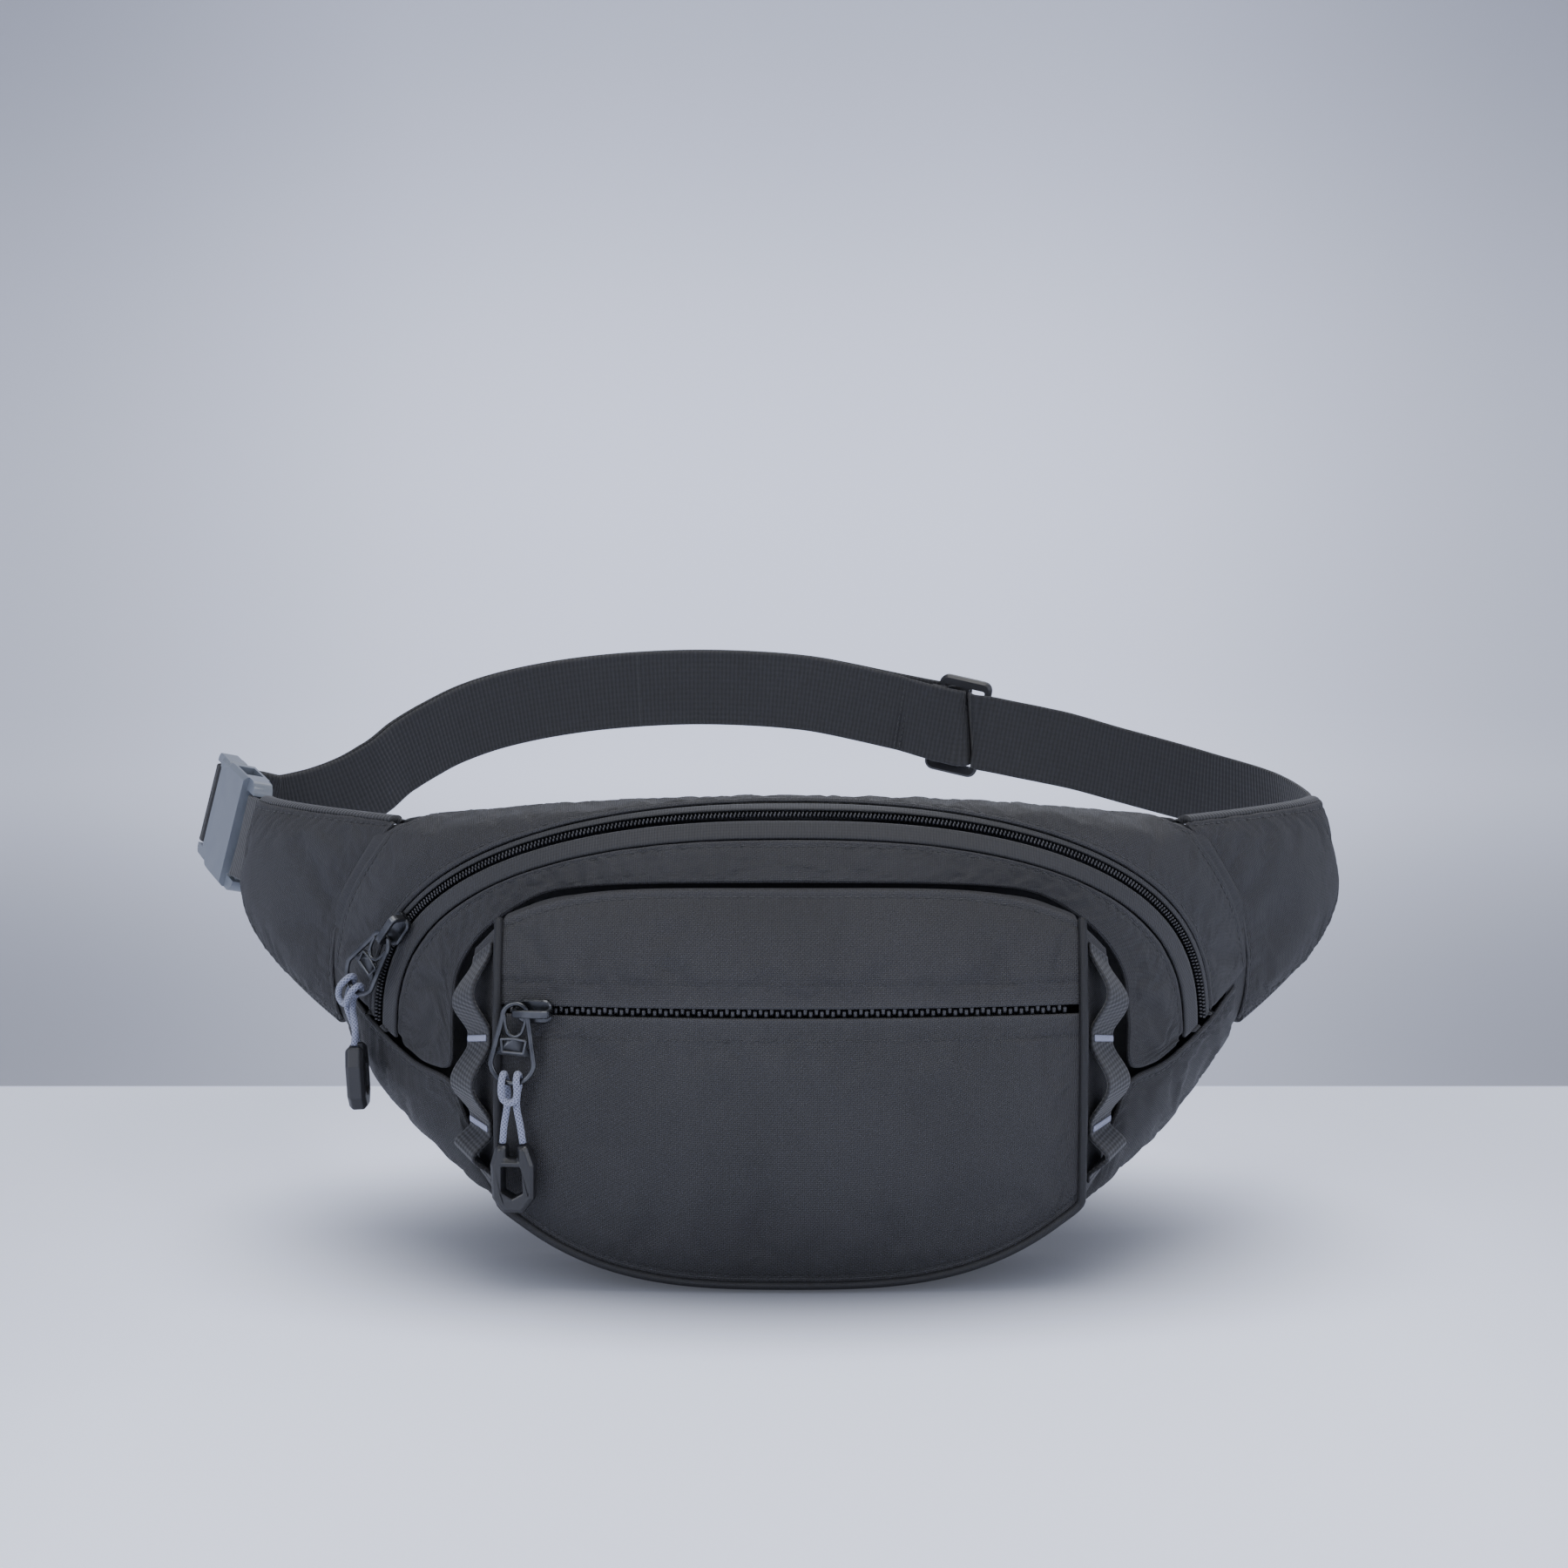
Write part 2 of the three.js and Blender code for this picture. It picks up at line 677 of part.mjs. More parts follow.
// A hairpin of webbing round a bar: in along one side, round, and out along the other.
function hairpin(bar, outwards, upright, length, radius) {
  const up = upright.clone().normalize();
  const aside = outwards.clone().cross(up).normalize();
  const points = [];
  const put = (along, off) =>
    points.push(bar.clone().addScaledVector(outwards, along).addScaledVector(aside, off));
  put(length, BELT_LAYERS / 2);
  put(length * 0.6, mix(BELT_LAYERS / 2, radius, 0.6));
  for (let i = 0; i <= 6; i += 1) {
    const a = (Math.PI * i) / 6;
    put(-radius * Math.sin(a), radius * Math.cos(a));
  }
  put(length * 0.6, -mix(BELT_LAYERS / 2, radius, 0.6));
  put(length, -BELT_LAYERS / 2);
  return new THREE.CatmullRomCurve3(points);
}
const BAR_RADIUS = 1.7;
const LOOP_RADIUS = BAR_RADIUS + GAP + WEBBING_THICK / 2;
const strapLoop = hairpin(strapBar, loopOut, buckleUp, 11.6, LOOP_RADIUS);
named(
  "belt_buckle_loop",
  webbing,
  sheet(26, 1, (u, v, w) => ribbonPoint(strapLoop, u, v, w, 0, () => buckleUp)),
);

// The short webbing joins the left wing to the housing's bar.
const shortRun = BUCKLE.clone().sub(tipMiddle(-1));
const SHORT_LENGTH = shortRun.length() - 1.6;
const shortLoop = hairpin(
  BUCKLE,
  shortRun.clone().normalize().negate(),
  buckleUp,
  SHORT_LENGTH,
  LOOP_RADIUS,
);
named(
  "wing_webbing_left",
  webbing,
  sheet(22, 1, (u, v, w) => ribbonPoint(shortLoop, u, v, w, 0, () => buckleUp)),
);

/* ---------------- side-release buckle ---------------- */

const buckle = new THREE.Group();
buckle.position.copy(BUCKLE);
buckle.setRotationFromMatrix(new THREE.Matrix4().makeBasis(BUCKLE_RUN, buckleUp, buckleOut));
pack.add(buckle);

const HOUSING_END = 31;
const HOUSING_THICK = 11;
const CAVITY = 3.1; // half its height
const ARM_CLEAR = 0.3;
const POST = 13.6; // inner half width between the side posts of the mouth
const barAt = (x) =>
  solid(new THREE.CylinderGeometry(BAR_RADIUS, BAR_RADIUS, 34, 8).translate(x, 0, 0));

const housing = plate(roundedShape(-4.5, HOUSING_END, -20.5, 20.5, 5), HOUSING_THICK, 1.4)
  .subtract(block(6.5, HOUSING_END + 1, -POST, POST, -CAVITY, CAVITY))
  .subtract(block(10, 23, -25, 25, -CAVITY, CAVITY))
  .subtract(plate(roundedShape(-8, 4.6, -16, 16, 1), 20, 0))
  .subtract(block(-6, 4.6, -25, 25, 3.4, 8))
  .subtract(block(-6, 4.6, -25, 25, -8, -3.4))
  .add(barAt(0));
named("buckle_housing", buckleGrey, geometryOf(housing), buckle);

const latchBase = plate(roundedShape(HOUSING_END + 0.5, BAR_TO_BAR + 2, -19.5, 19.5, 3), 9, 1.2)
  .subtract(plate(roundedShape(38.5, 60, -16, 16, 1), 20, 0))
  .subtract(block(40, 60, -25, 25, 3, 8))
  .subtract(block(40, 60, -25, 25, -8, -3))
  .add(barAt(BAR_TO_BAR))
  .add(block(9, 36, -2.4, 2.4, -1.6, 1.6));
named("buckle_latch", buckleGrey, geometryOf(latchBase), buckle);

// Each arm springs from the latch base and carries a pad in the housing's side window.
for (const [word, side] of [
  ["upper", 1],
  ["lower", -1],
]) {
  const outline = new THREE.Shape();
  const to = (x, y) => outline.lineTo(x, side * y);
  outline.moveTo(HOUSING_END + 0.1, side * 6.5);
  to(HOUSING_END + 0.1, 11.5);
  to(22.2, POST - ARM_CLEAR);
  to(14, POST - ARM_CLEAR);
  to(9, 9.5);
  to(9, 7.5);
  to(15, 8.5);
  named("buckle_arm_" + word, buckleGrey, geometryOf(plate(outline, 5.4, 0.5)), buckle);
}

/* ---------------- glide: the belt's length adjuster ---------------- */

const glide = new THREE.Group();
glide.position.copy(GLIDE);
const glideUp = leanAt(GLIDE).clone();
glideUp.addScaledVector(GLIDE_RUN, -glideUp.dot(GLIDE_RUN)).normalize();
glide.setRotationFromMatrix(
  new THREE.Matrix4().makeBasis(GLIDE_RUN, glideUp, GLIDE_RUN.clone().cross(glideUp)),
);
pack.add(glide);
// In this frame +X runs on to the left and +Z points away from the front.
const glideFrame = plate(roundedShape(-10.5, 10.5, -19.5, 19.5, 3.5), 4, 1, 3)
  .subtract(plate(roundedShape(-8, -1.6, -15.8, 15.8, 0.8), 12, 0, 2))
  .subtract(plate(roundedShape(1.6, 8, -15.8, 15.8, 0.8), 12, 0, 2))
  .subtract(block(-1.7, 1.7, -15.8, 15.8, 1.3, 3))
  .subtract(block(-1.7, 1.7, -15.8, 15.8, -3, -1.3));
named("glide_frame", plastic, geometryOf(glideFrame), glide);

// The belt is threaded over the near bar, down and behind the middle bar. At both ends a
// tail lies beside the fixed belt and slides along it.
const TAIL_OFF = 2.1;
const FAR_OFF = BELT_LAYERS / 2 + TAIL_OFF;
const localRibbon = (points) => {
  const curve = new THREE.CatmullRomCurve3(points.map(([x, z]) => vec(x, 0, z)));
  return (u, v, w) => ribbonPoint(curve, u, v, w, 0, () => vec(0, 1, 0));
};
named(
  "belt_threading",
  webbing,
  sheet(
    30,
    1,
    localRibbon([
      [-TAIL, -TAIL_OFF],
      [-24, -TAIL_OFF],
      [-15, -2.6],
      [-11.8, -3.1],
      [-9.3, -3.3],
      [-7, -2.6],
      [-4.8, 1.5],
      [-3.2, 4.5],
      [0, 5.4],
      [6, 4.9],
      [12, 3.6],
      [18, FAR_OFF],
      [TAIL, FAR_OFF],
    ]),
  ),
  glide,
);
named(
  "belt_sewn_end",
  webbing,
  sheet(
    33,
    1,
    localRibbon([
      [TAIL, -FAR_OFF],
      [22, -FAR_OFF],
      [16, -4.4],
      [9, -5.1],
      [3, -5],
      [-0.8, -4.3],
      [-3.1, -1.7],
      [-2.9, 1.6],
      [0, 3.1],
      [2.9, 1.7],
      [5, -1.5],
      [8, -3.1],
      [12.5, -3.2],
    ]),
  ),
  glide,
);

/* ---------------- zip sliders, pullers, cords and grips ---------------- */

// A slider's own frame: +X along the zip away from its closed end, +Z up off the face. Its
// bail is a bridge along the zip, high enough for the puller's ring to swing under it.
const SLIDER_LONG = 11;
const SLIDER_WIDE = 7.4;
const SLIDER_THICK = 2.2;
const BAIL_LONG = 12;
const BAIL_WIDE = 2.4;
const BAIL_UNDER = 6.1;
const BAIL_TOP = 7.5;
const PIN_HEIGHT = 4.6; // where the puller turns, between the body and the bail
function addSlider(name, parent) {
  const body = plate(
    roundedShape(-SLIDER_LONG / 2, SLIDER_LONG / 2, -SLIDER_WIDE / 2, SLIDER_WIDE / 2, 2.4),
    SLIDER_THICK,
    0.5,
    3,
  ).translate([0, 0, SLIDER_THICK / 2]);
  const half = BAIL_LONG / 2;
  const bridge = plate(roundedShape(-half, half, 0.8, BAIL_TOP, 2), BAIL_WIDE, 0.3, 2)
    .subtract(plate(roundedShape(1.3 - half, half - 1.3, -3, BAIL_UNDER, 1.2), 6, 0, 2))
    .rotate([90, 0, 0]);
  named(name, gunmetal, geometryOf(body.add(bridge)), parent);
}

// A puller's own frame: the line it turns about is X, -Y runs down its length.
const PULLER_TOP = 3.4;
const PULLER_LOW = -22.4;
const PULLER_THICK = 1.2;
const RIM = 1.3;
const TOP_RADIUS = 4.6;
const LOW_RADIUS = 7.5;
function addPuller(name, parent, y0) {
  const top = PULLER_TOP - TOP_RADIUS;
  const low = PULLER_LOW + LOW_RADIUS;
  const outline = new THREE.Shape();
  outline.absarc(0, top, TOP_RADIUS, Math.PI, 0, true);
  outline.absarc(0, low, LOW_RADIUS, 0, Math.PI, true);
  const ring = new THREE.Shape();
  ring.absarc(0, top, TOP_RADIUS - RIM, Math.PI, 0, true);
  ring.absarc(0, -5, 2.3, 0, Math.PI, true);
  const eye = new THREE.Shape();
  eye.moveTo(-4.9, -12.9);
  eye.lineTo(4.9, -12.9);
  eye.absarc(0, low, LOW_RADIUS - RIM, 0, Math.PI, true);
  const body = plate(outline, PULLER_THICK, 0.3, 5)
    .subtract(plate(ring, 5, 0, 4))
    .subtract(plate(eye, 5, 0, 5))
    .translate([0, y0, 0]);
  named(name, gunmetal, geometryOf(body), parent);
}

// Cord and grip hang from the puller's rim; their origin is inside the rim.
const CORD = 2.3;
const GRIP_TOP = -19;
const GRIP_LONG = 21;
function addCordAndGrip(prefix, parent, lean, twist) {
  const strand = 2.6;
  const twisted = (x, y, z) => {
    const upright = lean * (1 - THREE.MathUtils.smoothstep(-y, 2, 11));
    const turn = twist * THREE.MathUtils.smoothstep(-y, 6, 17);
    return vec(x, y, z).applyAxisAngle(vec(0, 1, 0), turn).applyAxisAngle(vec(0, 0, 1), upright);
  };
  const line = new THREE.CatmullRomCurve3([
    twisted(-3.2, GRIP_TOP + 0.4, 0),
    twisted(-strand, -12, 0),
    twisted(-2.1, -5, 2),
    twisted(-1.8, -1, 2.8),
    twisted(-1.6, 2.8, 1.7),
    twisted(-0.6, 3.5, -0.5),
    twisted(0.9, 1.6, -2.7),
    twisted(1.8, -2.5, -2.8),
    twisted(2.2, -6.5, -1.4),
    twisted(strand, -12, 0),
    twisted(3.2, GRIP_TOP + 0.4, 0),
  ]);
  named(prefix + "_pull_cord", cordBlue, rod(line, CORD / 2, 6, 24), parent);

  const outline = new THREE.Shape();
  const low = GRIP_TOP - GRIP_LONG;
  outline.moveTo(-4.9, GRIP_TOP);
  outline.lineTo(-1.7, GRIP_TOP);
  outline.lineTo(-1.7, GRIP_TOP - 4);
  outline.lineTo(1.7, GRIP_TOP - 4);
  outline.lineTo(1.7, GRIP_TOP);
  outline.lineTo(4.9, GRIP_TOP);
  outline.lineTo(6.9, GRIP_TOP - 6);
  outline.lineTo(6.6, low + 4.5);
  outline.lineTo(3.2, low);
  outline.lineTo(-3.2, low);
  outline.lineTo(-6.6, low + 4.5);
  outline.lineTo(-6.9, GRIP_TOP - 6);
  const hole = new THREE.Shape();
  hole.moveTo(-3.2, GRIP_TOP - 6.5);
  hole.lineTo(3.2, GRIP_TOP - 6.5);
  hole.lineTo(3.4, low + 6.5);
  hole.lineTo(0, low + 4.6);
  hole.lineTo(-3.4, low + 6.5);
  const body = plate(outline, 6, 1.2)
    .subtract(plate(hole, 12, 0))
    .rotate([0, THREE.MathUtils.radToDeg(twist), 0]);
  named(prefix + "_pull_grip", plastic, geometryOf(body), parent);
}

// Stands a group on a surface: X along the zip, Z off the face.
const LIFT = 0.6; // a slider's clearance over the cloth
function standOn(at, along, off) {
  const group = new THREE.Group();
  const x = along.clone().normalize();
  const z = off.clone().addScaledVector(x, -off.dot(x)).normalize();
  group.position.copy(at).addScaledVector(z, LIFT);
  group.setRotationFromMatrix(new THREE.Matrix4().makeBasis(x, z.clone().cross(x), z));
  pack.add(group);
  group.updateMatrixWorld(true);
  return group;
}

// Hangs a group by its origin, its -Y down a direction and its +Z as near as can be to off.
function hangFrom(at, down, off) {
  const group = new THREE.Group();
  const y = down.clone().normalize().negate();
  const z = off.clone().addScaledVector(y, -off.dot(y)).normalize();
  group.position.copy(at);
  group.setRotationFromMatrix(new THREE.Matrix4().makeBasis(y.clone().cross(z), y, z));
  pack.add(group);
  group.updateMatrixWorld(true);
  return group;
}

// Pocket slider, at the closed zip's left end. Its puller hangs across the zip.
const POCKET_SLIDER_X = -78;
const pocketAt = pocketPoint(POCKET_SLIDER_X, POCKET_ZIP_HEIGHT, 0);
const pocketAlong = pocketPoint(POCKET_SLIDER_X + 1, POCKET_ZIP_HEIGHT, 0).sub(pocketAt);
const pocketOff = vec(pocketAlong.y, -pocketAlong.x, 0).normalize();
const pocketSlider = standOn(pocketAt, pocketAlong, pocketOff);
addSlider("pocket_slider", pocketSlider);
const pocketPin = pocketSlider.localToWorld(vec(-5.1, 0, PIN_HEIGHT));
const pocketPuller = hangFrom(pocketPin, vec(-0.07, -0.06, -1), pocketOff);
addPuller("pocket_puller", pocketPuller, 0);
const pocketRim = pocketPuller.localToWorld(vec(0, PULLER_LOW + RIM / 2, 0));
addCordAndGrip("pocket", hangFrom(pocketRim, vec(0.02, 0, -1), pocketOff), 0, 0);

// Main slider, at the closed zip's left foot. Its puller lies along the zip.
const MAIN_SLIDER_T = 0.135;
const MAIN_TILT = 0.05; // halves the slider's tilt against the cloth over its travel
const coilPoint = (t, inset) => {
  const at = arch(t, inset);
  return onFront(at.x, at.z, 0.2);
};
const mainAt = coilPoint(MAIN_SLIDER_T, COIL_AT);
const mainAlong = coilPoint(MAIN_SLIDER_T + 0.01, COIL_AT).sub(
  coilPoint(MAIN_SLIDER_T - 0.01, COIL_AT),
);
const mainAcross = coilPoint(MAIN_SLIDER_T, COIL_AT + 2).sub(
  coilPoint(MAIN_SLIDER_T, COIL_AT - 2),
);
const mainOff = mainAlong.clone().cross(mainAcross).normalize();
if (mainOff.y > 0) mainOff.negate();
mainOff.applyAxisAngle(mainAlong.clone().normalize(), MAIN_TILT);
const mainSlider = standOn(mainAt, mainAlong, mainOff);
addSlider("main_slider", mainSlider);
const mainPin = mainSlider.localToWorld(vec(-3.1, 0, PIN_HEIGHT));
const mainPuller = hangFrom(mainPin, mainAlong.clone().negate(), mainOff);
addPuller("main_puller", mainPuller, RIM / 2 - PULLER_TOP);
const mainRim = mainPuller.localToWorld(vec(0, PULLER_LOW + RIM - PULLER_TOP, 0));
const mainRimLine = mainPuller.localToWorld(vec(1, 0, 0)).sub(mainPin);
const mainLean = Math.asin(mainRimLine.z);
const mainCord = hangFrom(mainRim, vec(0.05, 0, -1), mainRimLine.cross(vec(0, 0, 1)));
addCordAndGrip("main", mainCord, mainLean, -0.87);

export default pack;
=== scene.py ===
import math

import bmesh
import bpy
import numpy as np
from mathutils import Matrix, Vector, noise


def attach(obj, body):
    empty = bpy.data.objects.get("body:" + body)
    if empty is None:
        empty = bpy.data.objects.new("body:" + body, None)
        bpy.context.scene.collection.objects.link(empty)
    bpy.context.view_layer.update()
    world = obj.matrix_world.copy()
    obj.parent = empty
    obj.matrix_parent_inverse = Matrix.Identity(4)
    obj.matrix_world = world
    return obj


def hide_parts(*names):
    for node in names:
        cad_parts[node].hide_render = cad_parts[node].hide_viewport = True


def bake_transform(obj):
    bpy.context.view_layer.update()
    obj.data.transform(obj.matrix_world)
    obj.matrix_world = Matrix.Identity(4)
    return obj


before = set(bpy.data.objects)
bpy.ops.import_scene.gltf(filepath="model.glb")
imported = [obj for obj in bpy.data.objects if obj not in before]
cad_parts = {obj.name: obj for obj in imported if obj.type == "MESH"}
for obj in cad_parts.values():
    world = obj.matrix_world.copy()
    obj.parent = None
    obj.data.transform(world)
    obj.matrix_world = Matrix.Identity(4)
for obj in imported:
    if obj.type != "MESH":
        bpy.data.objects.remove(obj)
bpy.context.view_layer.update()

# ---------------------------------------------------------------- studio
# A pale sweep of paper, lighter near the pack and greyer behind it, under four large
# soft lamps, with the camera just above the pack and tipped a little down. The paper's
# colour carries a painted pool of light and a painted shadow, and it glows as painted light.

CAMERA_AT = Vector((-0.002, -0.8453, 0.2444))
CAMERA_TIP = math.radians(6)
CAMERA_LENS = 61.2
camera = bpy.data.objects.new("camera", bpy.data.cameras.new("camera"))
camera.data.lens = CAMERA_LENS
camera.data.sensor_width = 36
camera.data.clip_start = 0.02
camera.location = CAMERA_AT
camera.rotation_euler = (math.pi / 2 - CAMERA_TIP, 0, 0)
bpy.context.collection.objects.link(camera)
bpy.context.scene.camera = camera


def lamp(name, place, aim, size, watts, colour):
    """A square soft lamp that faces a point."""
    light = bpy.data.lights.new(name, "AREA")
    light.shape = "SQUARE"
    light.size = size
    light.energy = watts
    light.color = colour
    made = bpy.data.objects.new(name, light)
    made.location = place
    made.rotation_euler = (Vector(aim) - Vector(place)).to_track_quat("-Z", "Y").to_euler()
    made.visible_camera = False
    bpy.context.collection.objects.link(made)


lamp("overhead", (0.1, -0.35, 1.75), (0, 0.05, 0.08), 1.1, 18, (1.0, 0.99, 0.98))
lamp("front_left", (-1.3, -1.5, 0.95), (0, 0, 0.08), 1.2, 16, (0.96, 0.98, 1.0))
lamp("front_right", (1.5, -1.1, 0.8), (0, 0, 0.08), 1.1, 9, (0.97, 0.98, 1.0))
lamp("rear", (0.3, 1.5, 1.3), (0, 0.1, 0.1), 1.0, 6, (0.97, 0.98, 1.0))

world = bpy.data.worlds.new("studio_air")
world.use_nodes = True
world.node_tree.nodes["Background"].inputs["Color"].default_value = (0.62, 0.66, 0.76, 1)
world.node_tree.nodes["Background"].inputs["Strength"].default_value = 0.5
bpy.context.scene.world = world


class Wiring:
    """The nodes of one material, joined as they are made."""

    def __init__(self, name):
        self.material = bpy.data.materials.new(name)
        self.material.use_nodes = True
        self.tree = self.material.node_tree
        self.shader = self.tree.nodes["Principled BSDF"]

    def set(self, socket, value):
        """Puts a number or a joined output on a socket."""
        if isinstance(value, bpy.types.NodeSocket):
            self.tree.links.new(value, socket)
        else:
            socket.default_value = value

    def look(self, name, value):
        """Puts a joined output on one of the shader's own sockets."""
        self.set(self.shader.inputs[name], value)

    def math(self, kind, a, b=0.0, clamp=False):
        node = self.tree.nodes.new("ShaderNodeMath")
        node.operation = kind
        node.use_clamp = clamp
        self.set(node.inputs[0], a)
        self.set(node.inputs[1], b)
        return node.outputs[0]

    def plus(self, a, b, clamp=False):
        return self.math("ADD", a, b, clamp)

    def minus(self, a, b):
        return self.math("SUBTRACT", a, b)

    def times(self, a, b):
        return self.math("MULTIPLY", a, b)

    def ramp(self, value, low, high, to_low=0.0, to_high=1.0):
        node = self.tree.nodes.new("ShaderNodeMapRange")
        node.interpolation_type = "SMOOTHSTEP"
        self.set(node.inputs["Value"], value)
        node.inputs["From Min"].default_value = low
        node.inputs["From Max"].default_value = high
        node.inputs["To Min"].default_value = to_low
        node.inputs["To Max"].default_value = to_high
        return node.outputs["Result"]

    def blend(self, share, first, second):
        node = self.tree.nodes.new("ShaderNodeMix")
        node.data_type = "RGBA"
        self.set(node.inputs["Factor"], share)
        self.set(node.inputs["A"], first)
        self.set(node.inputs["B"], second)
        return node.outputs["Result"]

    def place(self):
        """The point of the surface in the pack's own metres."""
        return self.tree.nodes.new("ShaderNodeTexCoord").outputs["Object"]

    def cut(self):
        """How far along and across its own cut piece a point lies, in metres."""
        node = self.tree.nodes.new("ShaderNodeUVMap")
        node.uv_map = "cut"
        return node.outputs["UV"]

    def parts(self, point):
        node = self.tree.nodes.new("ShaderNodeSeparateXYZ")
        self.set(node.inputs[0], point)
        return node.outputs

    def grain(self, point, scale, detail=3.0, stretch=None):
        if stretch:
            turn = self.tree.nodes.new("ShaderNodeMapping")
            turn.inputs["Scale"].default_value = stretch
            self.set(turn.inputs["Vector"], point)
            point = turn.outputs["Vector"]
        node = self.tree.nodes.new("ShaderNodeTexNoise")
        self.set(node.inputs["Vector"], point)
        node.inputs["Scale"].default_value = scale
        node.inputs["Detail"].default_value = detail
        return node.outputs["Fac"]

    def wave(self, length, pitch):
        """From 0 to 1 and back once in each pitch."""
        turned = self.math("SINE", self.times(length, 2 * math.pi / pitch))
        return self.plus(self.times(turned, 0.5), 0.5)

    def relief(self, height, depth):
        node = self.tree.nodes.new("ShaderNodeBump")
        node.inputs["Distance"].default_value = depth
        self.set(node.inputs["Height"], height)
        self.look("Normal", node.outputs["Normal"])


FLOOR_LINE = 0.26
paper = Wiring("studio_paper")
width_across, depth_along, height_up = paper.parts(paper.place())
mottle = paper.ramp(paper.grain(paper.place(), 3.0), 0.3, 0.7)
near_tone = paper.blend(mottle, (0.72, 0.76, 0.90, 1), (0.74, 0.78, 0.92, 1))
far_tone = paper.blend(mottle, (0.335, 0.353, 0.425, 1), (0.35, 0.368, 0.44, 1))
behind = paper.ramp(depth_along, FLOOR_LINE - 0.002, FLOOR_LINE + 0.002)
paper.look("Roughness", paper.ramp(mottle, 0, 1, 0.78, 0.86))



def oval_run(middle, half_wide, half_deep):
    """How far out from the middle of an oval on the floor a point lies: 1 on its edge."""
    x = paper.math("DIVIDE", width_across, half_wide)
    y = paper.math("DIVIDE", paper.minus(depth_along, middle), half_deep)
    return paper.math("SQRT", paper.plus(paper.times(x, x), paper.times(y, y)))


# Painted light and shade: the paper's colour is painted palest round the pack, with a
# painted falloff to both sides and a painted shadow under the pack, where the lamps do not reach.
PAINTED_LIGHT_PEAK = 1.12
DARKEST_SHADE = 0.13
FLOOR_GLOW = 0.56
WALL_GLOW = 0.84
# Painted light: a pool of light painted palest round the pack, falling off to both sides.
spread = paper.math("MAXIMUM", paper.plus(depth_along, 0.85), 1.0)
back_aside = paper.math("DIVIDE", width_across, spread)
painted_falloff_behind = paper.ramp(paper.math("ABSOLUTE", back_aside), 0.05, 0.32, PAINTED_LIGHT_PEAK, 0.62)
painted_falloff_floor = paper.ramp(oval_run(-0.15, 0.36, 0.62), 0.2, 1.0, PAINTED_LIGHT_PEAK, 0.76)
painted_falloff = paper.plus(painted_falloff_floor, paper.times(behind, paper.minus(painted_falloff_behind, painted_falloff_floor)))
# Painted shadow: an oval of the paper under the pack is painted darker, down to DARKEST_SHADE.
painted_shadow_under_pack = paper.ramp(oval_run(0.03, 0.23, 0.155), 0.355, 1.0, DARKEST_SHADE, 1.0)
shade = paper.times(painted_falloff, painted_shadow_under_pack)
# Painted light: the paper glows as a fill light though it is no lamp, and its glow is dimmed by the
# painted shade.
glow_deep = paper.ramp(depth_along, FLOOR_LINE, 1.6, 0.12, WALL_GLOW)
glow_high = paper.times(glow_deep, paper.ramp(height_up, 0.2, 1.0, 1.0, 0.35))
glow = paper.plus(paper.times(glow_high, behind), paper.ramp(behind, 0, 1, FLOOR_GLOW, 0.12))
plain = paper.blend(behind, near_tone, far_tone)
paper.look("Base Color", paper.blend(shade, (0, 0, 0, 1), plain))
paper.look("Emission Color", paper.blend(behind, near_tone, (0.76, 0.81, 1.0, 1)))
paper.look("Emission Strength", paper.times(glow, shade))
paper.relief(paper.grain(paper.place(), 900.0), 0.00005)

FLOOR_REACH = 2.3
WALL_HIGH = 2.6
sweep = bmesh.new()
edge_line = [sweep.verts.new((0.001, 0, 0)), sweep.verts.new((FLOOR_REACH, 0, 0))]
for step in range(1, 17):
    turn = math.radians(90 * step / 16)
    edge_line.append(
        sweep.verts.new((FLOOR_REACH + 0.5 * math.sin(turn), 0, 0.5 - 0.5 * math.cos(turn)))
    )
edge_line.append(sweep.verts.new((FLOOR_REACH + 0.5, 0, WALL_HIGH)))
line_edges = [sweep.edges.new(pair) for pair in zip(edge_line, edge_line[1:])]
bmesh.ops.spin(
    sweep, geom=edge_line + line_edges, cent=(0, 0, 0), axis=(0, 0, 1), angle=2 * math.pi,
    steps=72, use_merge=True,
)
bmesh.ops.remove_doubles(sweep, verts=sweep.verts, dist=0.002)
bmesh.ops.recalc_face_normals(sweep, faces=sweep.faces)
for face in sweep.faces:
    if face.normal.z < -0.5:
        bmesh.ops.reverse_faces(sweep, faces=sweep.faces)
        break
paper_mesh = bpy.data.meshes.new("studio_sweep")
sweep.to_mesh(paper_mesh)
sweep.free()
paper_mesh.materials.append(paper.material)
paper_mesh.polygons.foreach_set("use_smooth", [True] * len(paper_mesh.polygons))
studio_floor = bpy.data.objects.new("studio_sweep", paper_mesh)
bpy.context.collection.objects.link(studio_floor)

# ---------------------------------------------------------------- hood
# The hood is the soft front panel above the pocket, of plain-woven nylon backed with a
# thin coating. Its edges are turned under and sewn to the zip and to the gusset.

MM = 0.001
CLOTH = 1.4
SEAM = 0.5
GAP = 0.35
WALL = 1.2
HALF_LENGTH = 155.0
SQUARENESS = 2.7
ARCH_HALF = 137.5
ARCH_FOOT = 72
ARCH_RISE = 79
ARCH_SQUARENESS = 2.45


def mix(a, b, t):
    return a + (b - a) * t


def power(a, p):
    return np.sign(a) * np.abs(a) ** p


def smooth(value, low, high):
    t = np.clip((value - low) / (high - low), 0, 1)
    return t * t * (3 - 2 * t)


def pts(x, y, z):
    return np.stack(np.broadcast_arrays(x, y, z), axis=-1).astype(float)


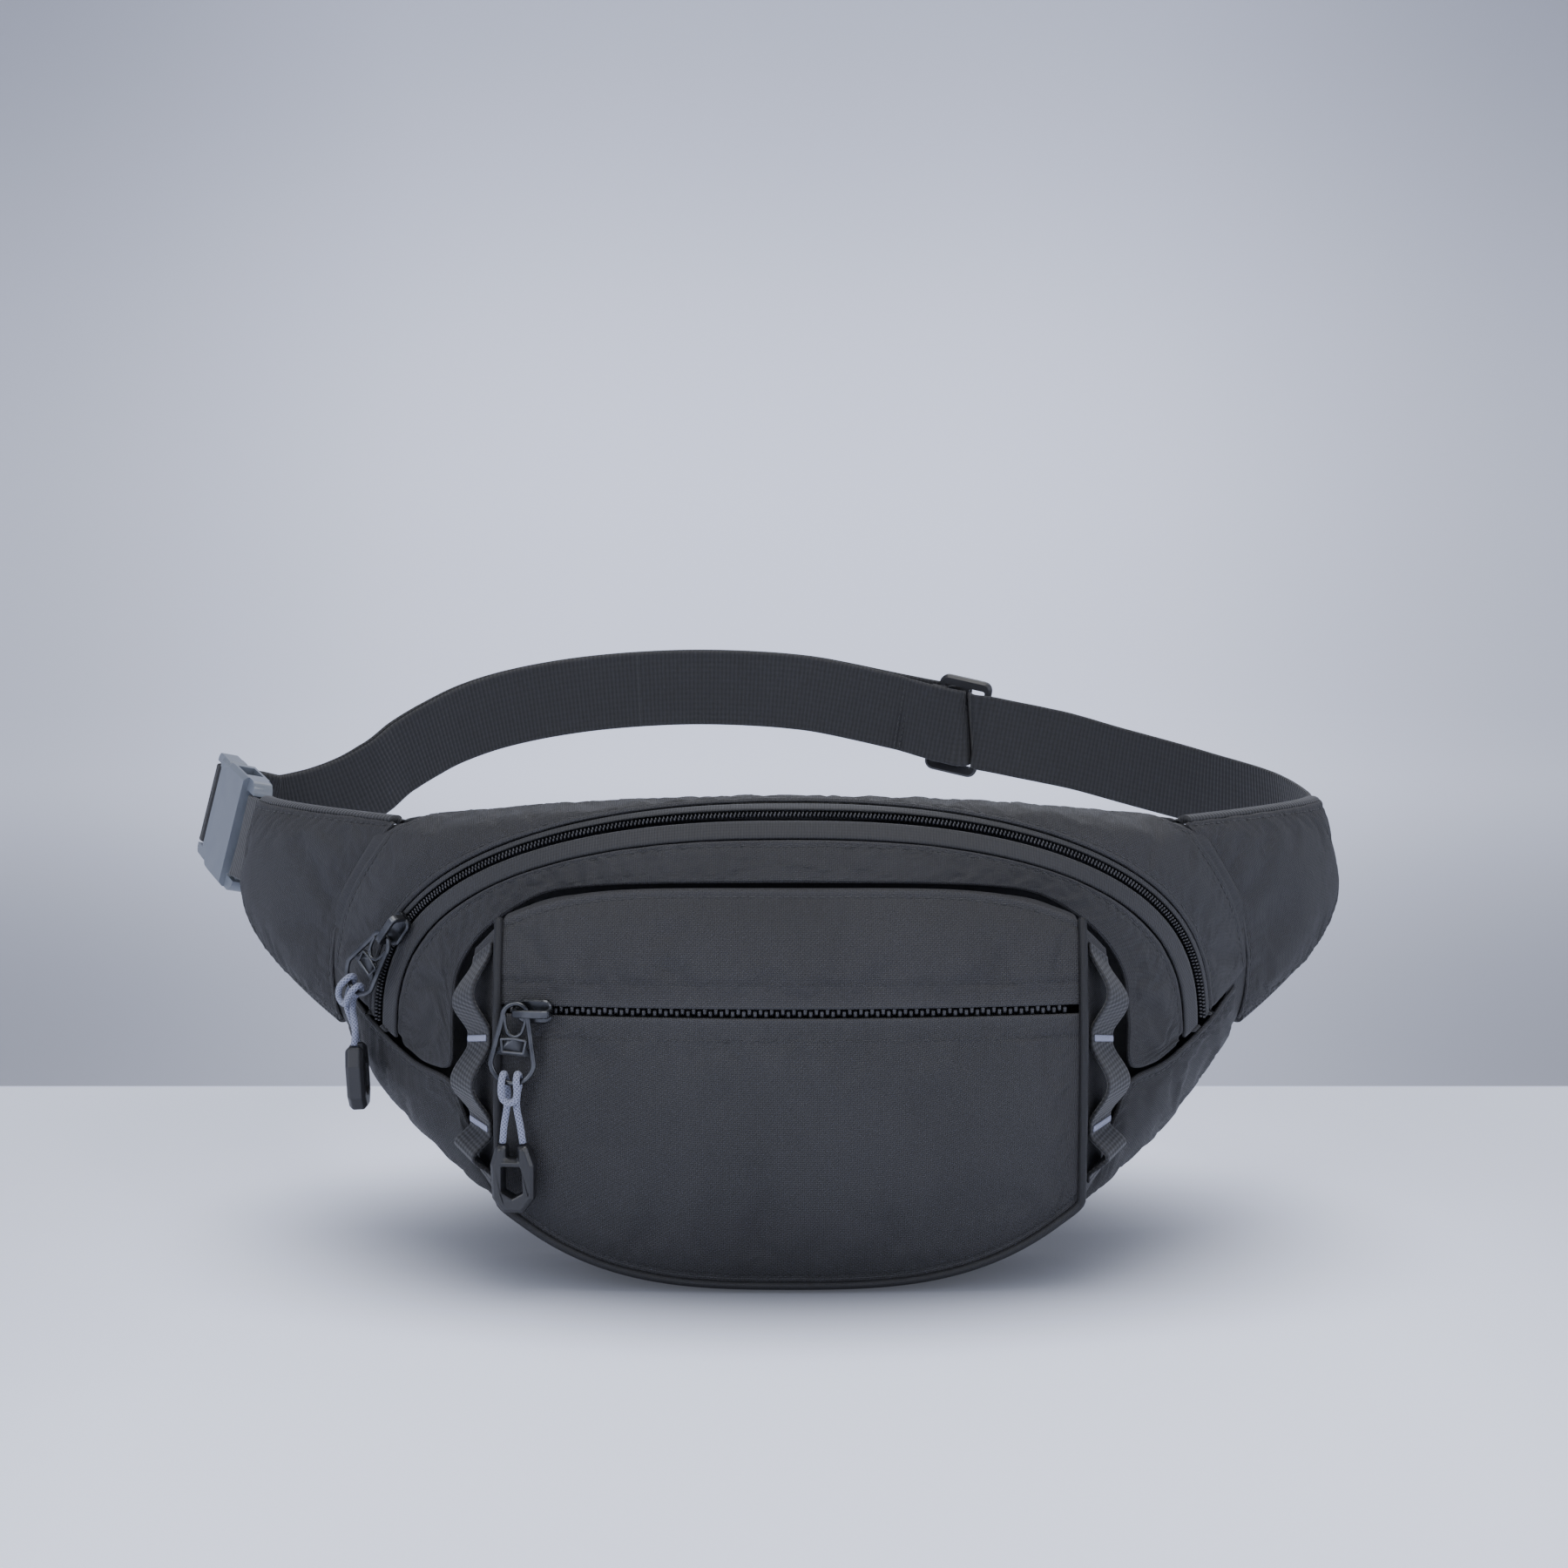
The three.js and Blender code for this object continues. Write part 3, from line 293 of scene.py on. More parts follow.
def section(x):
    """Middle height, half height and the two half depths of the pouch at a place along it."""
    top = 151.6 - 8.5 * np.abs(x / 120) ** 2.2
    low = 77 * (np.maximum(0, np.abs(x) - 35) / 120) ** 1.95 - 1.5
    full = 1 - np.abs(x / HALF_LENGTH) ** 3
    return (top + low) / 2, (top - low) / 2, mix(10, 36, full), mix(9, 25, full)


def curl_back(x):
    """How far back the pouch's middle line curls round the waist at a place along it."""
    return 46 * np.abs(x / HALF_LENGTH) ** 3


def pouch_point(x, degrees, inset):
    """A point of the pouch: 0 is its furthest front, 90 its top, 180 its back."""
    x, degrees, inset = np.broadcast_arrays(x, degrees, inset)
    middle, half, front, back = section(x)
    turn = np.radians(degrees)
    depth = np.where(np.cos(turn) > 0, front, back)
    y = curl_back(x) - (depth - inset) * power(np.cos(turn), 2 / SQUARENESS)
    z = middle + (half - inset) * power(np.sin(turn), 2 / SQUARENESS)
    return pts(x, y, np.maximum(z, inset))


def front_angle(x, z):
    middle, half, _, _ = section(x)
    return np.degrees(np.arcsin(power(np.clip((z - middle) / half, -1, 1), SQUARENESS / 2)))


def on_front(x, z, inset):
    return pouch_point(x, front_angle(x, z), inset)


def wing_seam(z):
    return 152.8 - 22.5 * ((z - 88) / 52) ** 2


def gusset_seam(x):
    return 63 + 26.5 * (np.maximum(0, np.abs(x) - 108) / 42) ** 1.6


def arch(t, inset):
    """The zip's arch, set in by a distance; t runs from its left foot to its right one."""
    x = -(ARCH_HALF - inset) * power(np.cos(np.pi * t), 2 / ARCH_SQUARENESS)
    z = ARCH_FOOT + (ARCH_RISE - inset) * power(np.sin(np.pi * t), 2 / ARCH_SQUARENESS)
    return x, np.maximum(z, gusset_seam(x) + SEAM)


def through(points, count=600):
    """A smooth curve through points, as evenly spaced points of it."""
    given = np.array(points, float)
    ends = np.vstack([2 * given[0] - given[1], given, 2 * given[-1] - given[-2]])
    line = []
    for k in range(len(given) - 1):
        a, b, c, d = ends[k : k + 4]
        gaps = [max(np.linalg.norm(q - p), 1e-6) ** 0.5 for p, q in ((a, b), (b, c), (c, d))]
        out = (b - a) / gaps[0] - (c - a) / (gaps[0] + gaps[1]) + (c - b) / gaps[1]
        back = (c - b) / gaps[1] - (d - b) / (gaps[1] + gaps[2]) + (d - c) / gaps[2]
        out, back = out * gaps[1], back * gaps[1]
        t = np.linspace(0, 1, 40, endpoint=k == len(given) - 2)[:, None]
        line.append(
            b + out * t + (3 * (c - b) - 2 * out - back) * t**2
            + (2 * (b - c) + out + back) * t**3
        )
    return evenly(np.vstack(line), count)


def run_of(line):
    """The length of a line up to each of its points."""
    return np.concatenate([[0], np.cumsum(np.linalg.norm(np.diff(line, axis=0), axis=1))])


def spot_on(line, run, at):
    return Vector([np.interp(at, run, line[:, c]) for c in range(3)])


def evenly(line, count):
    """The same line as this many evenly spaced points."""
    run = run_of(line)
    at = np.linspace(0, run[-1], count)
    return np.stack([np.interp(at, run, line[:, k]) for k in range(line.shape[1])], axis=-1)


def mirrored(points):
    return through([(-x, z) for x, z in reversed(points[1:])] + points)


def follow(line, share):
    """The point of an evenly spaced line at a share of its length."""
    at = np.linspace(0, 1, len(line))
    return [np.interp(share, at, line[:, k]) for k in range(line.shape[1])]


def bumpy(points, size, seed=0.0):
    """Soft noise from -1 to 1 over points in millimetres, with lumps of about this size."""
    flat = points.reshape(-1, 3) / size + seed
    return np.array([noise.noise(Vector(p)) for p in flat]).reshape(points.shape[:-1])


def make_object(name, bm, finish, body, replaced):
    """Turns a bmesh into a piece that rides on a body and stands for its solids."""
    made = bpy.data.meshes.new(name)
    bm.to_mesh(made)
    bm.free()
    made.materials.append(finish)
    for polygon in made.polygons:
        polygon.use_smooth = True
    piece = bpy.data.objects.new(name, made)
    bpy.context.collection.objects.link(piece)
    if body:
        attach(piece, body)
    if replaced:
        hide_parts(*replaced)
    return piece


def let_it_settle(piece, sewn, pressure, spare, cap):
    """Lets cloth with a little spare length find its own folds between its sewn edges."""
    held = piece.vertex_groups.new(name="sewn")
    for index, weight in enumerate(sewn):
        held.add([index], float(weight), "REPLACE")
    cloth = piece.modifiers.new("settle", "CLOTH")
    cloth.settings.quality = 5
    cloth.settings.mass = 0.12
    cloth.settings.tension_stiffness = 18
    cloth.settings.compression_stiffness = 18
    cloth.settings.shear_stiffness = 8
    cloth.settings.bending_stiffness = 0.9
    cloth.settings.use_pressure = True
    cloth.settings.uniform_pressure_force = pressure
    cloth.settings.shrink_min = -spare
    cloth.settings.shrink_max = -spare
    cloth.settings.vertex_group_mass = "sewn"
    cloth.settings.effector_weights.gravity = 0
    cloth.point_cache.frame_start = 1
    cloth.point_cache.frame_end = 22
    before = np.array([v.co for v in piece.data.vertices])
    for step in range(1, 21):
        bpy.context.scene.frame_set(step)
    settled = piece.evaluated_get(bpy.context.evaluated_depsgraph_get())
    after = np.array([v.co for v in settled.data.vertices])
    piece.modifiers.remove(cloth)
    piece.vertex_groups.clear()
    moved = np.nan_to_num(after - before)
    far = np.linalg.norm(moved, axis=1, keepdims=True)
    moved *= np.tanh(far / (cap * MM)) * (cap * MM) / np.maximum(far, 1e-9)
    piece.data.vertices.foreach_set("co", (before + moved).ravel())
    piece.data.update()
    bpy.context.scene.frame_set(1)


def edge_row(points, normals, away, side, inset):
    """The line on a panel at a distance in from one of its edges, and its normals."""
    if side in ("left", "right"):
        points, normals, away = (a.swapaxes(0, 1) for a in (points, normals, away))
    if side in ("right", "high"):
        points, normals, away = points[::-1], normals[::-1], away[::-1]
    row, up = [], []
    for k in range(points.shape[1]):
        row.append([np.interp(inset, away[:, k], points[:, k, c]) for c in range(3)])
        up.append([np.interp(inset, away[:, k], normals[:, k, c]) for c in range(3)])
    return np.array(row), np.array(up)


FOLD_SIZE = 34.0


def panel(
    name, columns, rows, place, thick, finish, replaced=None, body="pouch", roll=1.2,
    slack=0.0, pucker=0.0, crowd=(0.5, 0.8), sewing=(), settle=None, seed=0.0,
    edges=("left", "right", "low", "high"),
):
    """A cut piece of cloth carried to its place, with turned edges, folds and seams.

    place(u, v, w) gives millimetres, with w from the face inwards. Returns the piece and
    its sewing lines."""
    across = np.arange(columns + 1) / columns
    upward = np.arange(rows + 1) / rows
    across = across - crowd[0] * np.sin(2 * np.pi * across) / (2 * np.pi)
    upward = upward - crowd[1] * np.sin(2 * np.pi * upward) / (2 * np.pi)
    u, v = np.meshgrid(across, upward)
    face = place(u, v, np.zeros_like(u))
    inner = place(u, v, np.ones_like(u)) - face

    def lengths(axis):
        steps = np.linalg.norm(np.diff(face, axis=axis), axis=-1)
        start = np.zeros_like(u[:, :1] if axis == 1 else u[:1])
        return np.concatenate([start, np.cumsum(steps, axis=axis)], axis=axis)

    along, up = lengths(1), lengths(0)
    away = {"left": along, "right": along[:, -1:] - along, "low": up, "high": up[-1:] - up}
    normal = np.cross(np.gradient(face, axis=1), np.gradient(face, axis=0))
    normal /= np.maximum(np.linalg.norm(normal, axis=-1, keepdims=True), 1e-9)
    turned = np.sum(normal * inner) > 0
    if turned:
        normal = -normal
    near = np.minimum.reduce([away[side] for side in edges])

    lift = -np.where(near < roll, roll - np.sqrt(roll**2 - (roll - np.minimum(near, roll)) ** 2), 0)
    free = smooth(near, 2, 12)
    if slack:
        folds = 0.7 * bumpy(face, FOLD_SIZE, seed) + 0.4 * bumpy(face, FOLD_SIZE / 3, seed)
        lift += slack * free * folds
    if pucker:
        for side in edges:
            run = up if side in ("left", "right") else along
            line = pts(run, 0 * run, 0 * run)
            ripple = bumpy(line, 7.5, seed + 3.7) + 0.5 * bumpy(line, 3.4, seed + 9.1)
            lift += pucker * ripple * np.exp(-((away[side] - 3.5) / 4.5) ** 2)
    for side, inset in sewing:
        lift -= 0.4 * np.exp(-(((away[side] - inset) / 0.8) ** 2))
    surface = face + normal * lift[..., None]

    bm = bmesh.new()
    bmesh.ops.create_grid(bm, x_segments=columns, y_segments=rows, size=0.5)
    cut = bm.loops.layers.uv.new("cut")
    painted_rim_highlight = bm.verts.layers.float.new("painted_rim_highlight")
    place_of = {}
    for vert in bm.verts:
        i = round((vert.co.x + 0.5) * columns)
        j = round((vert.co.y + 0.5) * rows)
        place_of[vert] = (j, i)
        vert.co = surface[j, i] * MM
        # Painted highlight: a rim of light, strongest at the cut piece's edges.
        vert[painted_rim_highlight] = float(np.exp(-near[j, i] / 1.6))
    for f in bm.faces:
        for loop in f.loops:
            j, i = place_of[loop.vert]
            loop[cut].uv = ((along[j, i] - along[j, columns // 2]) * MM, up[j, i] * MM)
    bm.normal_update()
    heart = Vector(surface[rows // 2, columns // 2] * MM)
    middle = min(bm.faces, key=lambda f: (f.calc_center_median() - heart).length)
    if middle.normal.dot(Vector(normal[rows // 2, columns // 2])) < 0:
        bmesh.ops.reverse_faces(bm, faces=bm.faces)
    order = [place_of[vert] for vert in bm.verts]
    piece = make_object(name, bm, finish, body, [name] if replaced is None else replaced)
    if settle:
        pressure, spare, cap = settle
        sewn = [float(1 - smooth(near[j, i], 1.5, 7)) for j, i in order]
        let_it_settle(piece, sewn, pressure, spare, cap)
        for index, (j, i) in enumerate(order):
            surface[j, i] = np.array(piece.data.vertices[index].co) / MM
    if thick:
        wall = piece.modifiers.new("wall", "SOLIDIFY")
        wall.thickness = thick * MM
        wall.offset = -1
    rows_made = [edge_row(surface, normal, away[side], side, inset) for side, inset in sewing]
    return piece, rows_made


def stamp(name, unit, places, finish, body="pouch", replaced=()):
    """One small shape set down many times, as one piece."""
    bm = bmesh.new()
    for matrix in places:
        copy = unit.copy()
        copy.transform(matrix)
        bm.from_mesh(copy)
        bpy.data.meshes.remove(copy)
    return make_object(name, bm, finish, body, list(replaced))


def standing(at, along, up, scale=(1, 1, 1)):
    """The matrix that puts a small shape at a point, with its X along and its Z up."""
    x = Vector(along).normalized()
    z = (Vector(up) - x * Vector(up).dot(x)).normalized()
    turn = Matrix((x, z.cross(x), z)).transposed().to_4x4()
    return Matrix.Translation(Vector(at) * MM) @ turn @ Matrix.Diagonal((*scale, 1))


def small_shape(name, bm):
    shape = bpy.data.meshes.new(name)
    bm.to_mesh(shape)
    bm.free()
    return shape


stitch_shape = bmesh.new()
bmesh.ops.create_uvsphere(stitch_shape, u_segments=6, v_segments=4, radius=1.0)
lay_down = Matrix.Rotation(math.pi / 2, 3, "Y")
bmesh.ops.rotate(stitch_shape, verts=stitch_shape.verts, matrix=lay_down)
stitch_unit = small_shape("stitch_unit", stitch_shape)

STITCH_PITCH = 2.7
STITCH_LONG = 0.4 * STITCH_PITCH
STITCH_STAND = 0.05


def stitch_places(row, normals, wide=0.26, skip=3.0):
    """Where each stitch of a sewing line lies, end to end with a small gap between."""
    length = float(np.sum(np.linalg.norm(np.diff(row, axis=0), axis=1)))
    count = int((length - 2 * skip) / STITCH_PITCH)
    if count < 1:
        return []
    run = run_of(row)
    places = []
    for k in range(count):
        at = skip + (k + 0.5) * STITCH_PITCH
        here = spot_on(row, run, at)
        ahead = spot_on(row, run, at + 0.6)
        up = spot_on(normals, run, at)
        size = (STITCH_LONG * MM, wide * MM, 0.7 * wide * MM)
        places.append(standing(here + up.normalized() * STITCH_STAND, ahead - here, up, size))
    return places


def nylon_cloth(name, dark, light, pitch, rough, relief, sheen):
    """Plain weave: warp over weft and weft over warp in turn, with the turned edges painted lighter
    as a rim highlight.
    """
    wiring = Wiring(name)
    cut = wiring.cut()
    warp, weft, _ = wiring.parts(cut)
    over = wiring.wave(warp, pitch)
    under = wiring.wave(weft, pitch)
    chequer = wiring.times(
        wiring.math("SINE", wiring.times(warp, math.pi / pitch)),
        wiring.math("SINE", wiring.times(weft, math.pi / pitch)),
    )
    choose = wiring.plus(wiring.times(chequer, 0.5), 0.5)
    height = wiring.plus(
        wiring.times(over, choose),
        wiring.times(under, wiring.minus(1.0, choose)),
    )
    slub = wiring.grain(cut, 1500.0, 2.0, (1.0, 0.12, 1.0))
    faded = wiring.ramp(wiring.grain(wiring.place(), 22.0), 0.3, 0.7)
    # Painted highlight: the cloth is painted lighter near its turned edges.
    painted_rim_highlight = wiring.tree.nodes.new("ShaderNodeAttribute")
    painted_rim_highlight.attribute_name = "painted_rim_highlight"
    tone = wiring.times(height, 0.6)
    tone = wiring.plus(tone, wiring.times(slub, 0.2))
    tone = wiring.plus(tone, wiring.times(faded, 0.12))
    tone = wiring.plus(tone, wiring.times(painted_rim_highlight.outputs["Fac"], 0.3), True)
    wiring.look("Base Color", wiring.blend(tone, dark, light))
    wiring.look("Roughness", wiring.ramp(slub, 0.2, 0.8, rough - 0.07, rough + 0.07))
    wiring.shader.inputs["Sheen Weight"].default_value = sheen
    wiring.shader.inputs["Sheen Roughness"].default_value = 0.45
    wiring.shader.inputs["Specular IOR Level"].default_value = 0.38
    wiring.relief(wiring.plus(height, wiring.times(slub, 0.5)), relief)
    return wiring.material


nylon = nylon_cloth(
    "nylon_cloth", (0.0055, 0.0054, 0.006, 1), (0.041, 0.0405, 0.0435, 1), 0.00064, 0.6, 0.00018, 0.06
)


def thread_material(name, dark, light):
    """Twisted thread, with fine diagonal plies."""
    wiring = Wiring(name)
    x, y, z = wiring.parts(wiring.place())
    slant = wiring.plus(wiring.plus(x, y), z)
    ply = wiring.wave(slant, 0.00035)
    wiring.look("Base Color", wiring.blend(ply, dark, light))
    wiring.look("Roughness", wiring.ramp(ply, 0, 1, 0.6, 0.45))
    wiring.shader.inputs["Sheen Weight"].default_value = 0.2
    wiring.relief(ply, 0.00005)
    return wiring.material


seam_thread = thread_material("seam_thread", (0.004, 0.004, 0.005, 1), (0.014, 0.014, 0.016, 1))

hood_edge = mirrored([
    (0, 128.2), (60, 126.8), (77, 123.8), (89, 117), (99, 108), (105.5, 97), (107.5, 82),
    (109, 66), (117, 65.8), (125, 70.2),
])
ZIP_BAND = 9.5


def hood_place(u, v, w):
    low_x, low_z = follow(hood_edge, u)
    high_x, high_z = arch(mix(0.004, 0.996, u), ZIP_BAND + SEAM)
    return on_front(mix(low_x, high_x, v), mix(low_z, high_z, v), CLOTH * w)


_, hood_rows = panel(
    "hood_panel", 240, 44, hood_place, WALL, nylon, slack=0.9, pucker=0.45,
    sewing=(("high", 2.6),), settle=(2.0, 0.035, 1.6), seed=1.0,
)
hood_stitches = [m for row in hood_rows for m in stitch_places(*row)]
stamp("hood_stitching", stitch_unit, hood_stitches, seam_thread)

# ---------------------------------------------------------------- main zip
# The zip that arches over the hood has ribbed woven tapes and a row of coiled nylon
# monofilament near its outer edge, sewn between the hood and the yoke.

COIL_WIDTH = 2.2
COIL_AT = 2.9


def ribbed_cloth(name, dark, light, pitch, rough, relief, along=True, cross=0.0011):
    """Narrow woven goods: ribs one way, broken by a finer weave the other way."""
    wiring = Wiring(name)
    run, wide, _ = wiring.parts(wiring.cut())
    if not along:
        run, wide = wide, run
    rib = wiring.wave(run, pitch)
    weave = wiring.wave(wide, cross)
    height = wiring.plus(wiring.times(rib, 0.75), wiring.times(weave, 0.25))
    fuzz = wiring.grain(wiring.place(), 2600.0, 2.0)
    patch = wiring.grain(wiring.place(), 40.0)
    tone = wiring.times(height, 0.55)
    tone = wiring.plus(tone, wiring.times(fuzz, 0.25))
    tone = wiring.plus(tone, wiring.times(patch, 0.2), True)
    wiring.look("Base Color", wiring.blend(tone, dark, light))
    wiring.look("Roughness", wiring.ramp(fuzz, 0.2, 0.8, rough - 0.08, rough + 0.08))
    wiring.shader.inputs["Sheen Weight"].default_value = 0.15
    wiring.relief(wiring.plus(height, wiring.times(fuzz, 0.3)), relief)
    return wiring.material


zip_tape = ribbed_cloth(
    "zip_tape", (0.005, 0.005, 0.006, 1), (0.022, 0.022, 0.0245, 1), 0.0009, 0.7, 0.00014
)


def zip_strip(name, start, stop, inset, thick):
    def place(u, v, w):
        x, z = arch(u, mix(start, stop, v))
        return on_front(x, z, inset + thick * w)

    return panel(name, 300, 8, place, thick, zip_tape, roll=0.3, crowd=(0.2, 0.2))[0]


zip_strip("main_zip_tape_outer", 0, COIL_AT - COIL_WIDTH / 2 - GAP, 0.5, 0.9)
zip_strip("main_zip_tape_inner", COIL_AT + COIL_WIDTH / 2 + GAP, ZIP_BAND, 0.5, 0.9)


def plastic(name, dark, light, rough, grain_size, relief):
    """Moulded plastic, with the fine even grain of the mould and slightly dulled patches."""
    wiring = Wiring(name)
    fine = wiring.grain(wiring.place(), grain_size, 2.0)
    patch = wiring.ramp(wiring.grain(wiring.place(), 70.0), 0.3, 0.7)
    tone = wiring.plus(wiring.times(fine, 0.4), wiring.times(patch, 0.5))
    wiring.look("Base Color", wiring.blend(tone, dark, light))
    wiring.look("Roughness", wiring.ramp(patch, 0, 1, rough - 0.05, rough + 0.06))
    wiring.relief(fine, relief)
    return wiring.material


coil_plastic = plastic(
    "coil_nylon", (0.016, 0.016, 0.018, 1), (0.05, 0.05, 0.055, 1), 0.3, 3000.0, 0.00002
)
COIL_PITCH = 1.25
arch_x, arch_z = arch(np.linspace(0.001, 0.999, 1200), COIL_AT)
coil_line = evenly(on_front(arch_x, arch_z, 0.5), 2400)
coil_out = on_front(arch_x, arch_z, 0.0) - on_front(arch_x, arch_z, 1.0)
coil_run = run_of(coil_line)
coil_turns = []
for turn in range(int(coil_run[-1] / COIL_PITCH)):
    at = (turn + 0.5) * COIL_PITCH
    here = spot_on(coil_line, coil_run, at)
    ahead = spot_on(coil_line, coil_run, at + 0.8) - here
    share = at / coil_run[-1] * (len(coil_out) - 1)
    out = Vector(coil_out[int(share)]).normalized()
    for side in (-1, 1):
        across = out.cross(ahead.normalized()) * side
        shift = here + across * 0.52 + ahead.normalized() * 0.16 * side
        coil_turns.append(standing(shift, across, out, (0.00062, 0.00036, 0.00068)))
stamp("main_zip_coil", stitch_unit, coil_turns, coil_plastic, replaced=["main_zip_coil"])

# ---------------------------------------------------------------- yoke, gusset, front wall
# Three more cut pieces of the same nylon close the pouch: the yoke over the top, the
# gusset round the bottom, and the wall behind the pocket. All are sewn edge to edge.


def yoke_edge(u):
    side = np.where(u < 0.5, -1, 1)
    share = np.minimum(u, 1 - u)
    z = mix(90.5, 139, np.minimum(share / 0.16, 1))
    corner = wing_seam(139) - SEAM
    along = np.clip((share - 0.16) / 0.34, 0, 1)
    x = np.where(share < 0.16, wing_seam(z) - SEAM, mix(corner, 0, along))
    start = front_angle(x, z)
    turned = np.clip(along / 0.12, 0, 1)
    angle = np.where(share < 0.16, start, mix(front_angle(x, 139 + 0 * x), 100, turned))
    return side * x, angle


def yoke_place(u, v, w):
    inner_x, inner_z = arch(mix(0.004, 0.996, u), -SEAM)
    outer_x, outer_angle = yoke_edge(u)
    start = front_angle(inner_x, inner_z)
    return pouch_point(mix(inner_x, outer_x, v), mix(start, outer_angle, v), CLOTH * w)


_, yoke_rows = panel(
    "top_yoke_panel", 240, 36, yoke_place, WALL, nylon, slack=0.5, pucker=0.3,
    sewing=(("low", 2.4), ("high", 2.6)), settle=(1.5, 0.02, 1.2), seed=4.0, crowd=(0.3, 0.75),
)
gusset_edge = mirrored([
    (0, 4), (48, 5.5), (72, 11), (88, 21), (98, 36), (103.5, 50), (109, 61.5), (122, 65.8),
    (136, 74.6), (148.8, 86),
])


def gusset_place(u, v, w):
    front_x, front_z = follow(gusset_edge, u)
    start = front_angle(front_x, front_z) + 360
    return pouch_point(mix(front_x, mix(-147.5, 147.5, u), v), mix(start, 250, v), CLOTH * w)


_, gusset_rows = panel(
    "lower_gusset_panel", 220, 40, gusset_place, WALL, nylon, slack=0.8, pucker=0.4,
    sewing=(("low", 2.4), ("high", 2.6)), settle=(1.5, 0.03, 1.3), seed=7.0, crowd=(0.3, 0.75),
)


def front_wall_place(u, v, w):
    x = mix(-97, 97, u)
    low = 6.8 + 60 * np.abs(x / 105) ** 6
    high = 125 - 34 * np.abs(x / 104) ** 8
    return on_front(x, mix(low, high, v), 0.1 + CLOTH * w)


panel("main_front_panel", 70, 50, front_wall_place, WALL, nylon, slack=0.4, seed=8.0)
body_stitches = [m for row in yoke_rows + gusset_rows for m in stitch_places(*row)]
stamp("pouch_stitching", stitch_unit, body_stitches, seam_thread)

# ---------------------------------------------------------------- back
# The back is a lining, a sheet of closed-cell foam and a spacer mesh that lies against
# the wearer. The three are laid together and caught in the seams all round.


def spacer_mesh(name, dark, light, pitch):
    """Knitted spacer mesh: rows of small round holes, each row half a hole along."""
    wiring = Wiring(name)
    x, y, _ = wiring.parts(wiring.cut())
    row = wiring.times(y, 1 / (pitch * 0.866))
    odd = wiring.math("MODULO", wiring.math("ABSOLUTE", wiring.math("FLOOR", row)), 2.0)
    shifted = wiring.plus(wiring.times(x, 1 / pitch), wiring.times(odd, 0.5))
    fx = wiring.minus(wiring.math("FRACT", shifted), 0.5)
    fy = wiring.minus(wiring.math("FRACT", row), 0.5)
    apart = wiring.math(
        "SQRT", wiring.plus(wiring.times(fx, fx), wiring.times(fy, fy))
    )
    ridge = wiring.ramp(apart, 0.22, 0.42)
    fuzz = wiring.grain(wiring.place(), 1800.0, 3.0)
    tone = wiring.times(ridge, wiring.plus(wiring.times(fuzz, 0.8), 0.5))
    wiring.look("Base Color", wiring.blend(tone, dark, light))
    wiring.look("Roughness", wiring.ramp(fuzz, 0.2, 0.8, 0.78, 0.92))
    wiring.shader.inputs["Sheen Weight"].default_value = 0.3
    wiring.relief(wiring.plus(ridge, wiring.times(fuzz, 0.2)), 0.0006)
    return wiring.material


air_mesh = spacer_mesh("spacer_mesh", (0.004, 0.004, 0.005, 1), (0.035, 0.036, 0.04, 1), 0.0028)
lining_cloth = nylon_cloth(
    "lining_cloth", (0.012, 0.012, 0.015, 1), (0.03, 0.031, 0.036, 1), 0.0005, 0.5, 0.00006, 0.1
)
foam_wiring = Wiring("closed_cell_foam")
cells = foam_wiring.tree.nodes.new("ShaderNodeTexVoronoi")
foam_wiring.set(cells.inputs["Vector"], foam_wiring.place())
cells.inputs["Scale"].default_value = 1600.0
foam_tone = foam_wiring.ramp(cells.outputs["Distance"], 0.0, 0.8)
foam_wiring.look(
    "Base Color", foam_wiring.blend(foam_tone, (0.014, 0.014, 0.014, 1), (0.05, 0.05, 0.05, 1)),
)
foam_wiring.look("Roughness", foam_wiring.ramp(foam_tone, 0, 1, 0.95, 0.85))
foam_wiring.relief(foam_tone, 0.0002)
foam = foam_wiring.material


def back_place(inset, thick, swell=0.0):
    def place(u, v, w):
        angle = mix(101, 249, v)
        across = 146 - 17 * np.maximum(0, np.sin(np.radians(angle))) ** 2
        quilt = np.sin(np.pi * u) ** 0.5 * np.sin(np.pi * v) ** 0.5
        return pouch_point(mix(-across, across, u), angle, inset - swell * quilt + thick * w)

    return place


back_mesh, back_rows = panel(
    "back_air_mesh", 150, 80, back_place(0, 1, 1.5), 0.9, air_mesh, slack=0.7,
    pucker=0.3, sewing=(("low", 3), ("high", 3), ("left", 3), ("right", 3)),
    settle=(3.0, 0.01, 2.5), seed=11.0, roll=1.0,
)
back_foam, _ = panel("back_foam_pad", 60, 40, back_place(1.35, 4), 3.9, foam, seed=12.0)
panel("back_lining", 60, 40, back_place(5.7, CLOTH), 1.2, lining_cloth, slack=0.3)
back_stitches = [m for row in back_rows for m in stitch_places(*row)]
stamp("back_stitching", stitch_unit, back_stitches, seam_thread)

# ---------------------------------------------------------------- front pocket
# The pocket's face is two cut pieces of nylon, folded back along the zip and topstitched.
# Their upper part takes the light more, as it leans back.

POCKET_HALF = 89.5


def pocket_top(x):
    return 126.5 - 9.5 * np.abs(x / 88) ** 4.5


def pocket_foot(x):
    return 3.2 + 23 * np.abs(x / 86) ** 3.2


def pocket_point(x, z, inset):
    arc = 450 - np.sqrt(450**2 - x**2)
    full = 1 - np.abs((z - 62) / 65) ** 2.6
    return pts(x, inset + arc - 48 + 15 * (1 - full), z)


SLIT_TOP = 91.35
SLIT_LOW = 88.65


def pocket_place(half, low, high, inset, thick):
    def place(u, v, w):
        x = mix(-half, half, u)
        return pocket_point(x, mix(low(x), high(x), v), inset + thick * w)

    return place


def level(z):
    return lambda x: z + 0 * x


